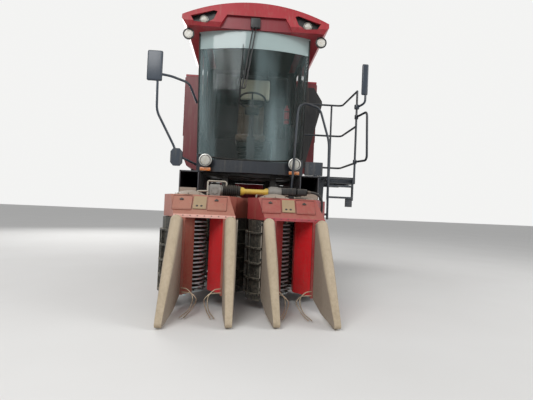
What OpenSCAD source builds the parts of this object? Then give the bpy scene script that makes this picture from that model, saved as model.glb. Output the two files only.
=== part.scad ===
// Two-row self-propelled cotton picker. Millimetres, +Z up, the picking units face -Y.
// Inside the modules x = 0 is the machine's centre plane, y = 0 the front axle and z = 0 the ground.

/* [Picking units] */
// Distance between the two rows
row_pitch = 900; // [880:5:960]
// Clear width of the row opening
row_w = 370; // [340:5:400]
// Height of the row tunnel
tunnel_h = 920; // [900:5:960]
// Length of a picking unit
unit_len = 1000; // [980:5:1060]
// Top of the unit's cabinet
cabinet_top = 1150; // [1140:5:1250]
// Number of grid bars beside each drum
bar_count = 18; // [10:1:18]
// Pitch of the grid bars
bar_pitch = 42; // [38:1:42]
// Height of the top grid bar
bar_top = 872; // [860:1:880]
// Radius of a drum at the tips of its spindles
drum_r = 205; // [195:1:206]
// Number of spindle columns round a drum
spindle_columns = 12; // [8:1:14]
// How far the stalk lifters reach ahead of the unit
shoe_reach = 620; // [500:10:700]
// Width of a stalk lifter
shoe_w = 116; // [90:2:130]

/* [Wheels] */
// Radius of a front drive tyre over its lugs
front_r = 575; // [540:5:590]
// Width of a front drive tyre
front_w = 330; // [280:5:340]
// Distance of a front wheel from the centre plane
front_track = 700; // [690:5:720]
// Radius of a rear steered tyre over its lugs
rear_r = 430; // [400:5:440]
// Width of a rear steered tyre
rear_w = 230; // [200:5:240]
// Distance of a rear wheel from the centre plane
rear_track = 620; // [615:5:640]
// Distance between the axles
wheelbase = 2600; // [2500:10:2700]
// Lugs in each of the two rows of a front tyre
front_lugs = 18; // [12:1:22]
// Lugs in each of the two rows of a rear tyre
rear_lugs = 16; // [12:1:20]

/* [Cab] */
// Height of the cab's floor
floor_z = 1500; // [1480:5:1540]
// Height of the windscreen's top edge
glass_top = 3390; // [3300:10:3450]
// Width of the cab at the windscreen's top
cab_w = 1530; // [1480:10:1560]
// Width of the cab at its floor
cab_foot_w = 1440; // [1400:10:1470]
// Length of the cab from the windscreen's edges to the back wall
cab_len = 1450; // [1400:10:1480]
// Thickness of the cab's door, pillars and walls
wall = 45; // [35:1:50]
// Width of the roof
roof_w = 1940; // [1900:10:2000]
// Height of the roof's crown
roof_top = 3770; // [3740:5:3800]

/* [Basket] */
// Half of the basket's width
basket_half = 1180; // [1150:5:1200]
// Length of the basket
basket_len = 2200; // [2100:10:2300]
// Height of the basket's floor
basket_z = 1670; // [1670:5:1690]
// Height of the basket's top edge
basket_top = 3350; // [3200:10:3400]
// Thickness of the basket's walls
basket_wall = 30; // [20:1:40]

/* [Hidden] */
$fn = 48;

red = "firebrick";
tan_paint = "tan";
black = "dimgray";
shoe_beige = "beige";
chrome = "silver";

// Places along the machine
front_gap = 175;                                  // from the front tyre to the units' back
face_y = -front_r - front_gap - unit_len;         // the units' front face
unit_back_y = face_y + unit_len;
cab_y = -280;                                     // the windscreen's side edges
cab_back_y = cab_y + cab_len;
duct_gap = 300;                                   // between the cab's back and the basket
basket_y = cab_back_y + duct_gap;
basket_back_y = basket_y + basket_len;

// Rails of the chassis
rail_x = 330;
rail_w = 80;
rail_h = 180;
rail_z = 900;
rail_top = rail_z + rail_h;
rail_front_y = -300;
rail_back_y = basket_back_y - 40;

// Outer limits, used to put the origin at the middle of the machine's footprint
mirror_x = -1250;
mirror_w = 190;
rail_post_x = 1505;
mirror_right_x = rail_post_x + 70;
mirror_right_w = 90;
hitch_back = 120;
tube_r = 16;
x_min = mirror_x - mirror_w / 2;
x_max = mirror_right_x + mirror_right_w / 2;
y_min = face_y - shoe_reach;
y_max = basket_back_y + hitch_back;
mid_x = (x_min + x_max) / 2;
mid_y = (y_min + y_max) / 2;

module placed() {
    translate([-mid_x, -mid_y, 0]) children();
}

// A straight round bar between two points
module rod(a, b, r) {
    d = b - a;
    len = norm(d);
    turn = atan2(d[1], d[0]);
    tilt = acos(d[2] / len);
    translate(a) rotate([0, tilt, turn]) cylinder(h = len, r = r);
}

// A bent tube through a row of points, with a ball in each bend
module tube(points, r) {
    for (i = [0 : len(points) - 2]) rod(points[i], points[i + 1], r);
    for (i = [1 : len(points) - 2]) translate(points[i]) sphere(r = r + 0.4);
}

module box(x0, x1, y0, y1, z0, z1) {
    translate([x0, y0, z0]) cube([x1 - x0, y1 - y0, z1 - z0]);
}

module both_sides() {
    children();
    mirror([1, 0, 0]) children();
}

// An outline in x and z, run along y from y0 to y1
module along_y(y0, y1) {
    translate([0, y1, 0]) rotate([90, 0, 0]) linear_extrude(height = y1 - y0) children();
}

// An outline in y and z, run along x from x0 to x1
module along_x(x0, x1) {
    translate([x0, 0, 0]) rotate([90, 0, 90]) linear_extrude(height = x1 - x0) children();
}

// Picking unit: u runs across from the row's middle, v back from the face
drum_u = 190;
front_drum_v = 330;
rear_drum_v = 740;
drum_low = 150;
grid_r = 185;
grid_thick = 14;
bar_h = 14;
slope_v = 170;
lip_h = 25;
unit_low = 160;
side_sheet = 8;

module at_unit(side) {
    translate([side * row_pitch / 2, face_y, 0]) children();
}

// Plan of the cabinet: it swells to the left over the front drum and to the right over the rear one
cabinet_plan = [
    [-305, 0], [-370, slope_v], [-470, front_drum_v + 60], [-470, front_drum_v + 210], [-350, rear_drum_v],
    [-300, unit_len - 100], [-300, unit_len], [350, unit_len], [440, rear_drum_v + 140],
    [440, rear_drum_v - 50], [300, rear_drum_v - 300], [300, 300], [230, slope_v], [305, 0],
];
cabinet_side = [
    [0, tunnel_h], [0, tunnel_h + lip_h], [slope_v, cabinet_top], [unit_len, cabinet_top], [unit_len, tunnel_h],
];
slope_tilt = atan2(cabinet_top - tunnel_h - lip_h, slope_v);
slope_len = norm([slope_v, cabinet_top - tunnel_h - lip_h]);

// Hinge of the suction door, at its rear edge
door_hinge = [-314.4, 564];
door_pin_r = 6;

lid_w = 190;
lid_places = [-235, 115];
lid_h = 175;
lid_thick = 10;

// Discharge neck at a cabinet's back, which slides inside the duct's hood
neck_x0 = 660;
neck_x1 = 860;
neck_low = cabinet_top - 60;
neck_high = cabinet_top + 110;
neck_len = 150;
neck_wall = 6;
module neck(side) {
    x0 = side > 0 ? neck_x0 : -neck_x1;
    x1 = side > 0 ? neck_x1 : -neck_x0;
    color(black) difference() {
        box(x0, x1, unit_back_y, unit_back_y + neck_len, neck_low, neck_high);
        box(x0 + neck_wall, x1 - neck_wall, unit_back_y + neck_wall, unit_back_y + neck_len + 1,
            neck_low + neck_wall, neck_high - neck_wall);
    }
}

module cabinet() {
    color(red) {
        intersection() {
            linear_extrude(height = cabinet_top) polygon(cabinet_plan);
            along_x(-500, 500) polygon(cabinet_side);
        }
        // Posts beside the row opening, with the outer sheets behind them
        for (s = [-1, 1]) {
            box(s < 0 ? -305 : row_w / 2, s < 0 ? -row_w / 2 : 305, 0, 40, unit_low, tunnel_h);
        }
        box(305 - side_sheet, 305, 39, 420, unit_low, tunnel_h);
        // Guard plate between the left post and the grid bars
        translate([0, 0, unit_low]) linear_extrude(height = tunnel_h - unit_low + 1)
            polygon([[-row_w / 2 - 8, 30], [-row_w / 2, 30], [-104, 118], [-110, 124]]);
        box(-296, -296 + side_sheet, 620, unit_len, unit_low, tunnel_h);
        // Post beside the suction door, with the door's hinge pin
        box(-290, -262, 559, 628, unit_low, tunnel_h);
        box(door_hinge[0], -262, door_hinge[1] - 6, door_hinge[1] + 10, 240, 252);
        translate([door_hinge[0], door_hinge[1], 240]) cylinder(h = tunnel_h - 240, r = door_pin_r);
        box(-300, -row_w / 2, unit_len - 40, unit_len, unit_low, tunnel_h);
        box(row_w / 2 + 20, 305, unit_len - 40, unit_len, unit_low, tunnel_h);
        // Raised lids on the sloped face
        for (u = lid_places) {
            translate([u, 0, tunnel_h + lip_h]) rotate([slope_tilt, 0, 0])
                translate([-lid_w / 2, 60, -1]) cube([lid_w, lid_h, lid_thick + 1]);
        }
    }
    // Domed covers over the drums' bearings
    color(tan_paint) for (d = [[-drum_u, front_drum_v], [drum_u, rear_drum_v]]) {
        translate([d[0], d[1], cabinet_top - 1]) dome(0);
    }
}

module dome(grow) {
    intersection() {
        translate([0, 0, -270]) sphere(r = 320 + grow);
        translate([0, 0, -grow]) cylinder(h = 60, r = 170 + grow);
    }
}

// Stalk lifter: a wedge with a round ridge, from its tip on the ground to its top
shoe_tip = 30;
module shoe(u, lean, short) {
    r = shoe_w / 2;
    reach = shoe_reach - short;
    color(shoe_beige) hull() {
        translate([u, -r - 6, 945 - r]) sphere(r = r, $fn = 24);
        translate([u + lean * 0.45, -reach * 0.48, 510]) sphere(r = r * 0.96, $fn = 24);
        translate([u + lean, -reach + shoe_tip, shoe_tip + 12]) rotate([0, 90, 0])
            cylinder(h = 2 * shoe_tip, r = shoe_tip, center = true, $fn = 16);
        box(u - r + 4, u + r - 4, -30, 0, unit_low, 900);
        box(u + lean * 0.5 - r + 8, u + lean * 0.5 + r - 8, -reach * 0.55, -reach * 0.4, 70, 120);
    }
}

// Place of each lifter in its unit, sideways lean of its tip and how much shorter it stands
SIDE = 0;
PLACE = 1;
LEAN = 2;
SHORT = 3;
shoes = [[-1, -262, -24, 0], [-1, 262, 32, 50], [1, -262, 70, 90], [1, 262, 78, 90]];

// Grid bars: curved ribs round the row side of a drum, on two posts
grid_span = 86;
grid_post_r = drum_r + 8;
module grid(middle) {
    color(chrome) rotate([0, 0, middle]) {
        for (i = [0 : bar_count - 1]) {
            translate([0, 0, bar_top - i * bar_pitch - bar_h / 2]) {
                rotate([0, 0, -grid_span]) rotate_extrude(angle = 2 * grid_span)
                    translate([grid_r - grid_thick, 0]) square([grid_thick, bar_h]);
                for (a = [-grid_span, grid_span]) rotate([0, 0, a])
                    box(grid_r - grid_thick, grid_post_r + 2, -8, 8, 0, bar_h);
            }
        }
        for (a = [-grid_span, grid_span]) rotate([0, 0, a])
            box(grid_post_r, grid_post_r + 22, -10, 10, bar_top - (bar_count - 1) * bar_pitch - 30, tunnel_h);
    }
}

// Spindle drum on its shaft: a core with one star of spindles between each pair of grid bars
spindle_w = 13;
core_r = 110;
spindle_row = [for (i = [0 : spindle_columns - 1]) let (a = i * 360 / spindle_columns, w = spindle_w / 2)
    each [for (p = [[core_r - 8, -w], [drum_r - 4, -w], [drum_r, 0], [drum_r - 4, w], [core_r - 8, w]])
        [p[0] * cos(a) - p[1] * sin(a), p[0] * sin(a) + p[1] * cos(a)]]];
module drum() {
    color(chrome) {
        translate([0, 0, drum_low - 20]) cylinder(h = tunnel_h - drum_low + 19.5, r = 30);
        for (i = [0 : bar_count - 2]) {
            translate([0, 0, bar_top - (i + 0.5) * bar_pitch - spindle_w / 2]) rotate([0, 0, i % 2 * 15])
                linear_extrude(height = spindle_w) polygon(spindle_row);
        }
        translate([0, 0, bar_top - (bar_count - 1) * bar_pitch])
            cylinder(h = (bar_count - 1) * bar_pitch, r = core_r);
    }
}

// Pressure panel: a bent plate on a post, which leans into the row opposite a drum
panel_in = 38;
module pressure_panel() {
    color(red) translate([0, 0, unit_low + 10]) linear_extrude(height = tunnel_h - unit_low - 10)
        polygon([
            [row_w / 2, 0.3], [panel_in, 200], [panel_in, 330], [row_w / 2 - 30, 380],
            [row_w / 2 - 18, 380], [panel_in + 9, 326], [panel_in + 9, 203], [row_w / 2 + 9, 0.3],
        ]);
}

// Suction door: a ribbed half shell round the outer side of a drum
door_r = 270;
door_thick = 10;
rib_out = 28;
door_low = 95;
rib_gap = 155;
rib_h = 16;
module suction_shell(top) {
    ribs = [for (i = [0 : 4]) let (z = door_low + 60 + i * rib_gap)
        each [[door_r, z], [door_r + rib_out, z], [door_r + rib_out, z + rib_h], [door_r, z + rib_h]]];
    color(black) rotate([0, 0, 118]) rotate_extrude(angle = 124) polygon(concat(
        [[door_r - door_thick, door_low], [door_r, door_low]], ribs,
        [[door_r, top], [door_r - door_thick, top]]));
}

// The door: a shell with two knuckles on the hinge pin
module suction_door() {
    hinge = door_hinge - [-drum_u, front_drum_v];
    color(black) difference() {
        union() {
            difference() {
                suction_shell(tunnel_h - 6);
                translate([hinge[0], hinge[1], 0]) cylinder(h = tunnel_h, r = 15);
                // The ribs end short of the hinge, so they clear the post when the door is open
                translate([hinge[0] - 45, hinge[1] + 6, 0]) cube([65, 60, tunnel_h]);
            }
            for (z = [300, 720]) translate([hinge[0], hinge[1], z]) cylinder(h = 90, r = 18);
        }
        translate([hinge[0], hinge[1], 0]) cylinder(h = tunnel_h, r = door_pin_r + pin_fit);
    }
}

// Wire fingers that bow from the posts down to the ground in front of a row
module wires(side) {
    color(chrome) for (s = [-1, 1], k = [0, 1]) {
        tube($fn = 8, r = 5, points = [
            [s * (row_w / 2 + 10), -3, 230 - 40 * k],
            [s * (row_w / 2 - 10 - 20 * k), -90, 150],
            [s * (row_w / 2 - 50 - 30 * k), -180, 60],
            [s * (row_w / 2 - 70 - 40 * k), -300, 24],
        ]);
    }
}

module cabinet_at(side) {
    at_unit(side) cabinet();
    neck(side);
}

module stalk_lifters() {
    for (row = shoes) at_unit(row[SIDE]) shoe(row[PLACE], row[LEAN], row[SHORT]);
}

module grid_bars() {
    for (s = [-1, 1]) at_unit(s) {
        translate([-drum_u, front_drum_v, 0]) grid(0);
        translate([drum_u, rear_drum_v, 0]) grid(180);
    }
}

module pressure_panels() {
    for (s = [-1, 1]) at_unit(s) {
        translate([0, 40, 0]) pressure_panel();
        translate([0, unit_len - 40, 0]) rotate([0, 0, 180]) pressure_panel();
    }
}

module row_wires() {
    for (s = [-1, 1]) at_unit(s) wires(s);
}

module drum_at(side, rear) {
    at_unit(side) translate([rear ? drum_u : -drum_u, rear ? rear_drum_v : front_drum_v, 0]) drum();
}

// The rear drums' shells are bolted on
module rear_shells() {
    for (s = [-1, 1]) at_unit(s) translate([drum_u, rear_drum_v, 0]) rotate([0, 0, 180])
        suction_shell(tunnel_h - 0.3);
}

module suction_door_at(side) {
    at_unit(side) translate([-drum_u, front_drum_v, 0]) suction_door();
}

// Drive line across the tops of the units, clear of the domes
shaft_v = 560;
shaft_z = cabinet_top + 72;
module drive_line() {
    y = face_y + shaft_v;
    difference() {
        union() {
            color("gray") box(-470, -320, y - 75, y + 75, cabinet_top + 0.3, cabinet_top + 140);
            color(black) for (i = [0 : 9]) {
                translate([-320 + i * 21, y, shaft_z]) rotate([0, 90, 0])
                    cylinder(h = 22, r = i % 2 == 0 ? 66 : 58);
            }
            color("gold") rod([-112, y, shaft_z], [206, y, shaft_z], 25);
            color("gray") {
                translate([205, y, shaft_z]) rotate([0, 90, 0]) cylinder(h = 150, r = 70);
                box(354, 650, y - 60, y + 60, cabinet_top + 0.3, cabinet_top + 130);
            }
        }
        at_unit(-1) translate([drum_u, rear_drum_v, cabinet_top - 1]) dome(0.4);
        at_unit(1) translate([-drum_u, front_drum_v, cabinet_top - 1]) dome(0.4);
        at_unit(1) translate([drum_u, rear_drum_v, cabinet_top - 1]) dome(0.4);
    }
}

// Lift frame: a square tool bar behind the units with two arms back to the pivot
pivot_y = rail_front_y + 40;
pivot_z = 980;
arm_x = 230;
bar_y = unit_back_y;
eye_y = -600;
eye_z = 800;
pin_r = 25;
pin_fit = 0.05;
eye_r = 16;
eye_pin_r = 12;
module lift_frame() {
    color(black) {
        box(-duct_x0 + 12, duct_x0 - 12, bar_y, bar_y + 110, 940, 1050);
        both_sides() difference() {
            union() {
                along_x(arm_x - 25, arm_x + 25) polygon([
                    [bar_y + 100, 950], [bar_y + 100, 1050], [pivot_y, pivot_z + 50], [pivot_y, pivot_z - 50],
                    [eye_y + 30, 780], [eye_y - 30, 780],
                ]);
                translate([arm_x - 25, pivot_y, pivot_z]) rotate([0, 90, 0]) cylinder(h = 50, r = 50);
                // Pin for the lift cylinder's eye, on a lug of the arm
                box(arm_x - 25, arm_x + 25, eye_y - 30, eye_y + 30, eye_z - 30, 960);
                rod([lift_cyl_x - 32, eye_y, eye_z], [arm_x, eye_y, eye_z], eye_pin_r);
            }
            translate([arm_x - 26, pivot_y, pivot_z]) rotate([0, 90, 0])
                cylinder(h = 52, r = pin_r + pin_fit);
        }
    }
}

// Lift cylinders between the axle and the arms
lift_base_y = -150;
lift_base_z = 600;
lift_cyl_x = 150;
module lift_barrels() {
    color(black) both_sides() {
        base = [lift_cyl_x, lift_base_y, lift_base_z];
        eye = [lift_cyl_x, eye_y, eye_z];
        d = (eye - base) / norm(eye - base);
        difference() {
            union() {
                translate(base - [42, 0, 0]) rotate([0, 90, 0]) cylinder(h = 84, r = 38);
                rod(base + d * 30, base + d * 330, 40);
            }
            translate(base - [43, 0, 0]) rotate([0, 90, 0]) cylinder(h = 86, r = 20 + pin_fit);
            rod(base + d * 80, base + d * 340, 22.1);
        }
    }
}

module lift_rods() {
    color(chrome) both_sides() {
        base = [lift_cyl_x, lift_base_y, lift_base_z];
        eye = [lift_cyl_x, eye_y, eye_z];
        d = (eye - base) / norm(eye - base);
        rod(base + d * 200, eye - d * 25, 22);
        difference() {
            translate(eye - [25, 0, 0]) rotate([0, 90, 0]) cylinder(h = 50, r = 32);
            translate(eye - [26, 0, 0]) rotate([0, 90, 0]) cylinder(h = 52, r = eye_r);
        }
    }
}

// Wheels, turned about the x axis
lug_deep = 34;
lug_turn = 40;
module tyre(r, w, rim_r, lugs) {
    body_r = r - lug_deep;
    color(black) rotate([0, 90, 0]) {
        rotate_extrude() polygon([
            [rim_r, -w * 0.36], [body_r - 60, -w * 0.47], [body_r - 26, -w * 0.44], [body_r, -w * 0.3],
            [body_r, w * 0.3], [body_r - 26, w * 0.44], [body_r - 60, w * 0.47], [rim_r, w * 0.36],
        ]);
        intersection() {
            cylinder(h = w, r = r, center = true);
            for (side = [-1, 1], i = [0 : lugs - 1]) {
                rotate([0, 0, (i + (side > 0 ? 0.5 : 0)) * 360 / lugs])
                    translate([body_r - 8, 0, side * w * 0.02])
                        rotate([side * lug_turn, 0, 0]) translate([0, -14, side > 0 ? 0 : -w * 0.6])
                            cube([lug_deep + 30, 28, w * 0.6]);
            }
        }
    }
}

module rim(r, w, rim_r, out) {
    color("ivory") rotate([0, 90, 0]) difference() {
        union() {
            rotate_extrude() polygon([
                [rim_r - 0.3, -w * 0.36], [rim_r - 14, -w * 0.36], [rim_r - 40, -w * 0.2], [rim_r - 40, out * w * 0.1 - 8],
                [80, out * w * 0.1 - 8], [80, out * w * 0.1 + 8], [rim_r - 40, out * w * 0.1 + 8],
                [rim_r - 40, w * 0.2], [rim_r - 14, w * 0.36], [rim_r - 0.3, w * 0.36],
                [rim_r - 26, w * 0.18], [rim_r - 26, -w * 0.18],
            ]);
            translate([0, 0, out * w * 0.1 - 30]) cylinder(h = 60, r = 90);
        }
        translate([0, 0, -w]) cylinder(h = 2 * w, r = 35.05);
    }
}

front_rim_r = 330;
rear_rim_r = 250;

module front_wheel_at(s) {
    translate([s * front_track, 0, front_r]) children();
}

module rear_wheel_at(s) {
    translate([s * rear_track, wheelbase, rear_r]) children();
}

// Front axle: a housing across the rails, with drop boxes down to the wheels' stub shafts
module front_axle() {
    color(black) {
        box(-470, 470, -110, 110, 700, rail_z);
        translate([0, -40, 760]) rotate([0, 90, 0]) cylinder(h = 160, r = 160, center = true);
        both_sides() {
            box(400, 500, -120, 120, front_r - 120, 760);
            translate([400, 0, front_r]) rotate([0, 90, 0]) cylinder(h = 110, r = 150);
            translate([500, 0, front_r]) rotate([0, 90, 0]) cylinder(h = front_track - 500 + 60, r = 35);
            // Ears for the lift cylinders
            for (x = [lift_cyl_x - 58, lift_cyl_x + 44]) {
                box(x, x + 14, lift_base_y - 40, -100, lift_base_z - 40, 760);
            }
            rod([lift_cyl_x - 58, lift_base_y, lift_base_z], [lift_cyl_x + 58, lift_base_y, lift_base_z], 20);
        }
    }
}

// Rear axle: a beam hung below the rails, forked round each knuckle's kingpin
king_x = 440;
king_r = 22;
module rear_axle() {
    color(black) {
        box(-380, 380, wheelbase - 70, wheelbase + 70, rear_r - 60, rear_r + 80);
        box(-60, 60, wheelbase - 60, wheelbase + 60, rear_r + 60, rail_z - 60);
        box(-rail_x + rail_w / 2, rail_x - rail_w / 2, wheelbase - 80, wheelbase + 80, rail_z - 80, rail_z + 40);
        both_sides() {
            for (z = [rear_r - 90, rear_r + 60]) difference() {
                union() {
                    box(340, king_x, wheelbase - 45, wheelbase + 45, z, z + 30);
                    translate([king_x, wheelbase, z]) cylinder(h = 30, r = 45);
                }
            }
            box(340, 380, wheelbase - 45, wheelbase + 45, rear_r - 90, rear_r + 90);
            translate([king_x, wheelbase, rear_r - 75]) cylinder(h = 150, r = king_r);
        }
    }
}

module knuckle(s) {
    color(black) translate([s * king_x, wheelbase, rear_r]) {
        difference() {
            translate([0, 0, -55]) cylinder(h = 110, r = 40);
            translate([0, 0, -56]) cylinder(h = 112, r = king_r + pin_fit);
        }
        difference() {
            rotate([0, s * 90, 0]) cylinder(h = rear_track - king_x + 50, r = 35);
            translate([0, 0, -56]) cylinder(h = 112, r = 38);
        }
    }
}

// Chassis: two rails with bolted cross members, pivot ears, cylinder feet and a tow hitch
hitch_r = 16;
bolt_gap = 0.2;
inner_x = rail_x - rail_w / 2 - bolt_gap;
cross_ys = [rail_front_y + 100, 300, 1200, rail_back_y - 120];
module chassis_frame() {
    color(black) {
        both_sides() {
            box(rail_x - rail_w / 2, rail_x + rail_w / 2, rail_front_y, rail_back_y, rail_z, rail_top);
            // Ears of the lift pivot
            for (x = [arm_x - 50, arm_x + 30]) {
                box(x, x + 20, rail_front_y - 40, rail_front_y + 100 - bolt_gap, pivot_z - 70, rail_top);
            }
            rod([arm_x - 50, pivot_y, pivot_z], [arm_x + 50, pivot_y, pivot_z], pin_r);
        }
        for (y = cross_ys) box(-inner_x, inner_x, y, y + 100, rail_z + 30, rail_top - 20);
        // Cross plates that hold the tip cylinders' feet
        for (y = tip_ys) {
            for (e = [-64, 50]) difference() {
                box(-inner_x, inner_x, y + e, y + e + 14, tip_foot[1] - 50, rail_z + 45);
                rod([tip_foot[0], y + e - 1, tip_foot[1]], [tip_foot[0], y + e + 15, tip_foot[1]], 20 + bolt_gap);
            }
            rod([tip_foot[0], y - 64, tip_foot[1]], [tip_foot[0], y + 64, tip_foot[1]], 20);
        }
        // Tow hitch: a plate with a pin hole behind the last cross member
        difference() {
            union() {
                box(-90, 90, rail_back_y - 20 + bolt_gap, y_max - 60, rail_z + 60, rail_z + 100);
                translate([0, y_max - 60, rail_z + 60]) cylinder(h = 40, r = 60);
            }
            translate([0, y_max - 60, rail_z + 50]) cylinder(h = 60, r = hitch_r);
        }
    }
}

// Upper frame: posts and outriggers of the cab, posts and beams of the basket with the hinge ears
beam_top = basket_z - 85;
beam_low = beam_top - 110;
side_beam_x = basket_half - 150;
module upper_frame() {
    color(black) {
        both_sides() {
            for (y = [cab_y + 60, cab_back_y - 180]) {
                box(rail_x - 40, rail_x + 40, y, y + 120, rail_top + bolt_gap, floor_z - bolt_gap);
                box(rail_x + 40 + bolt_gap, duct_x1, y + 35, y + 75, duct_high + bolt_gap, floor_z - bolt_gap);
            }
            box(side_beam_x - 50, side_beam_x + 50, basket_y, basket_back_y, beam_low, beam_top);
            for (y = [basket_y + 20, basket_back_y - 140]) {
                box(rail_x - 40, rail_x + 40, y, y + 100, rail_top + bolt_gap, beam_low - bolt_gap);
            }
        }
        for (y = [basket_y + 20, basket_back_y - 140]) {
            box(-side_beam_x + 50 + bolt_gap, side_beam_x - 50 - bolt_gap, y, y + 100, beam_low, beam_top);
        }
        // Ears and pins of the basket's hinge
        for (y = hinge_ys) {
            for (e = [-34, 14]) box(hinge_x - 30, hinge_x + 30, y + e, y + e + 20, beam_top + bolt_gap, hinge_z + 26);
            rod([hinge_x, y - 34, hinge_z], [hinge_x, y + 34, hinge_z], hinge_pin_r);
        }
    }
}

// Shields ahead of the front wheels, below the ducts' hoods
module front_shields() {
    color(black) both_sides() box(duct_x1, duct_x1 + 8, hood_y, -front_r + 260, 240, 1180);
}

module fuel_tank() {
    color(black) box(-900, -rail_x - 40, 600, 1180, 820, 1180);
}

cowl_y0 = 1960;
cowl_y1 = 3260;
module engine() {
    color("gray") box(-rail_x + rail_w / 2, rail_x - rail_w / 2, cowl_y0 + 120, cowl_y1 - 220,
        rail_z + 50, basket_z - 215);
}

module engine_cowl() {
    color(red) difference() {
        box(-520, 520, cowl_y0, cowl_y1, rail_top, basket_z - 175);
        box(-490, 490, cowl_y0 + 30, cowl_y1 + 1, rail_top - 1, basket_z - 205);
    }
}

module rear_grille() {
    color(black) difference() {
        box(-520, 520, cowl_y1, cowl_y1 + 20, rail_top, basket_z - 175);
        for (i = [0 : 7]) box(-440, 440, cowl_y1 - 1, cowl_y1 + 21, rail_top + 40 + i * 42, rail_top + 60 + i * 42);
    }
}

module exhaust() {
    color(chrome) {
        rod([520, 2300, 1300], [640, 2300, 1300], 40);
        rod([640, 2300, 1262], [640, 2300, 1440], 40);
    }
}

// Cab: front profile of its side walls
function cab_x(z) = cab_foot_w / 2 + (cab_w - cab_foot_w) / 2 * (z - floor_z) / (glass_top - floor_z);
sill = 70;
pillar = 70;
door_back_y = cab_back_y - 680;
door_front_y = cab_y + 60;

module cab_shell_outline(inset) {
    polygon([
        [-cab_x(floor_z) + inset, floor_z], [cab_x(floor_z) - inset, floor_z],
        [cab_x(glass_top) - inset, glass_top + 10], [-cab_x(glass_top) + inset, glass_top + 10],
    ]);
}

// Hinge line of the cab door, leaning with the cab's side
side_lean = atan2((cab_w - cab_foot_w) / 2, glass_top - floor_z);
cab_hinge_out = 18;
cab_hinge_zs = [250, 1500];
cab_pin_r = 8;
knuckle_h = 60;
module at_hinge() {
    translate([cab_x(floor_z), door_back_y, floor_z]) rotate([0, side_lean, 0]) children();
}

module cab_frame() {
    color(black) {
        // Hinge brackets and pins of the door
        at_hinge() for (z = cab_hinge_zs) {
            for (e = [z - 20, z + knuckle_h + 4]) {
                box(-2, 8, 0, 55, e, e + 16);
                translate([cab_hinge_out, 0, e]) cylinder(h = 16, r = 16);
            }
            translate([cab_hinge_out, 0, z - 10]) cylinder(h = knuckle_h + 20, r = cab_pin_r);
        }
        // Floor
        box(-cab_x(floor_z), cab_x(floor_z), cab_y, cab_back_y, floor_z, floor_z + 50);
        difference() {
            along_y(cab_y, cab_back_y) cab_shell_outline(0);
            along_y(cab_y - 1, cab_back_y - wall) cab_shell_outline(wall);
            // Windscreen opening is the whole front, the side and back windows leave pillars
            box(-cab_w, cab_w, cab_y + pillar, door_back_y - pillar, floor_z + 560, glass_top - sill);
            box(-cab_w, cab_w, door_back_y + pillar / 2, cab_back_y - pillar, floor_z + 560, glass_top - sill);
            box(-cab_x(floor_z) + pillar + 40, cab_x(floor_z) - pillar - 40, cab_back_y - wall - 20,
                cab_back_y + 1, floor_z + 700, glass_top - sill);
            // Door opening on the right
            box(min(cab_w, cab_foot_w) / 2 - wall - 10, cab_w, door_front_y, door_back_y, floor_z + 50, glass_top - sill);
        }
    }
}

module cab_door() {
    difference() {
        intersection() {
            along_y(door_front_y + 6, door_back_y - 6) cab_shell_outline(0);
            box(0, cab_w, door_front_y, door_back_y, floor_z + 56, glass_top - sill - 6);
        }
        along_y(door_front_y, door_back_y) cab_shell_outline(wall);
        box(0, cab_w, door_front_y + pillar, door_back_y - pillar, floor_z + 500, glass_top - sill - 80);
    }
    // Hinge knuckles
    color(black) at_hinge() for (z = cab_hinge_zs) difference() {
        union() {
            box(-2, 8, -55, 0, z, z + knuckle_h);
            translate([cab_hinge_out, 0, z]) cylinder(h = knuckle_h, r = 16);
        }
        translate([cab_hinge_out, 0, z - 1]) cylinder(h = knuckle_h + 2, r = cab_pin_r + pin_fit);
    }
    // Pane
    color("lightblue") intersection() {
        difference() {
            along_y(door_front_y + pillar, door_back_y - pillar) cab_shell_outline(15);
            along_y(door_front_y, door_back_y) cab_shell_outline(22);
        }
        box(0, cab_w, door_front_y, door_back_y, floor_z + 500, glass_top - sill - 80);
    }
}

// Curved windscreen: part of an upright cylinder, its foot lower in the middle
screen_r = 2000;
screen_sag = screen_r - sqrt(screen_r * screen_r - cab_w * cab_w / 4);
screen_thick = 8;
screen_foot = floor_z + 225;
screen_dip = 65;
module cab_glass() {
    color("lightblue") {
        intersection() {
            translate([0, cab_y + screen_r - screen_sag, 0]) difference() {
                cylinder(h = glass_top + 9.7, r = screen_r, $fn = 200);
                translate([0, 0, -1]) cylinder(h = glass_top + 12, r = screen_r - screen_thick, $fn = 200);
            }
            along_y(cab_y - screen_sag - 10, cab_y - 0.3) polygon([
                [-cab_x(screen_foot) + 4, screen_foot + 1], [-500, screen_foot - screen_dip + 0.3],
                [500, screen_foot - screen_dip + 0.3], [cab_x(screen_foot) - 4, screen_foot + 1],
                [cab_x(glass_top) - 4, glass_top + 10], [-cab_x(glass_top) + 4, glass_top + 10],
            ]);
        }
        // Left, quarter and back panes
        for (span = [[cab_y + pillar, door_back_y - pillar], [door_back_y + pillar / 2, cab_back_y - pillar]]) {
            intersection() {
                difference() {
                    along_y(span[0], span[1]) cab_shell_outline(15);
                    along_y(span[0] - 1, span[1] + 1) cab_shell_outline(22);
                    if (span[0] < cab_y + 100) box(0, cab_w, span[0] - 1, span[1] + 1, floor_z, glass_top + 20);
                }
                box(-cab_w, cab_w, span[0], span[1], floor_z + 560, glass_top - sill);
            }
        }
        box(-cab_x(floor_z) + pillar + 40, cab_x(floor_z) - pillar - 40, cab_back_y - 28, cab_back_y - 20,
            floor_z + 700, glass_top - sill);
    }
}

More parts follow.
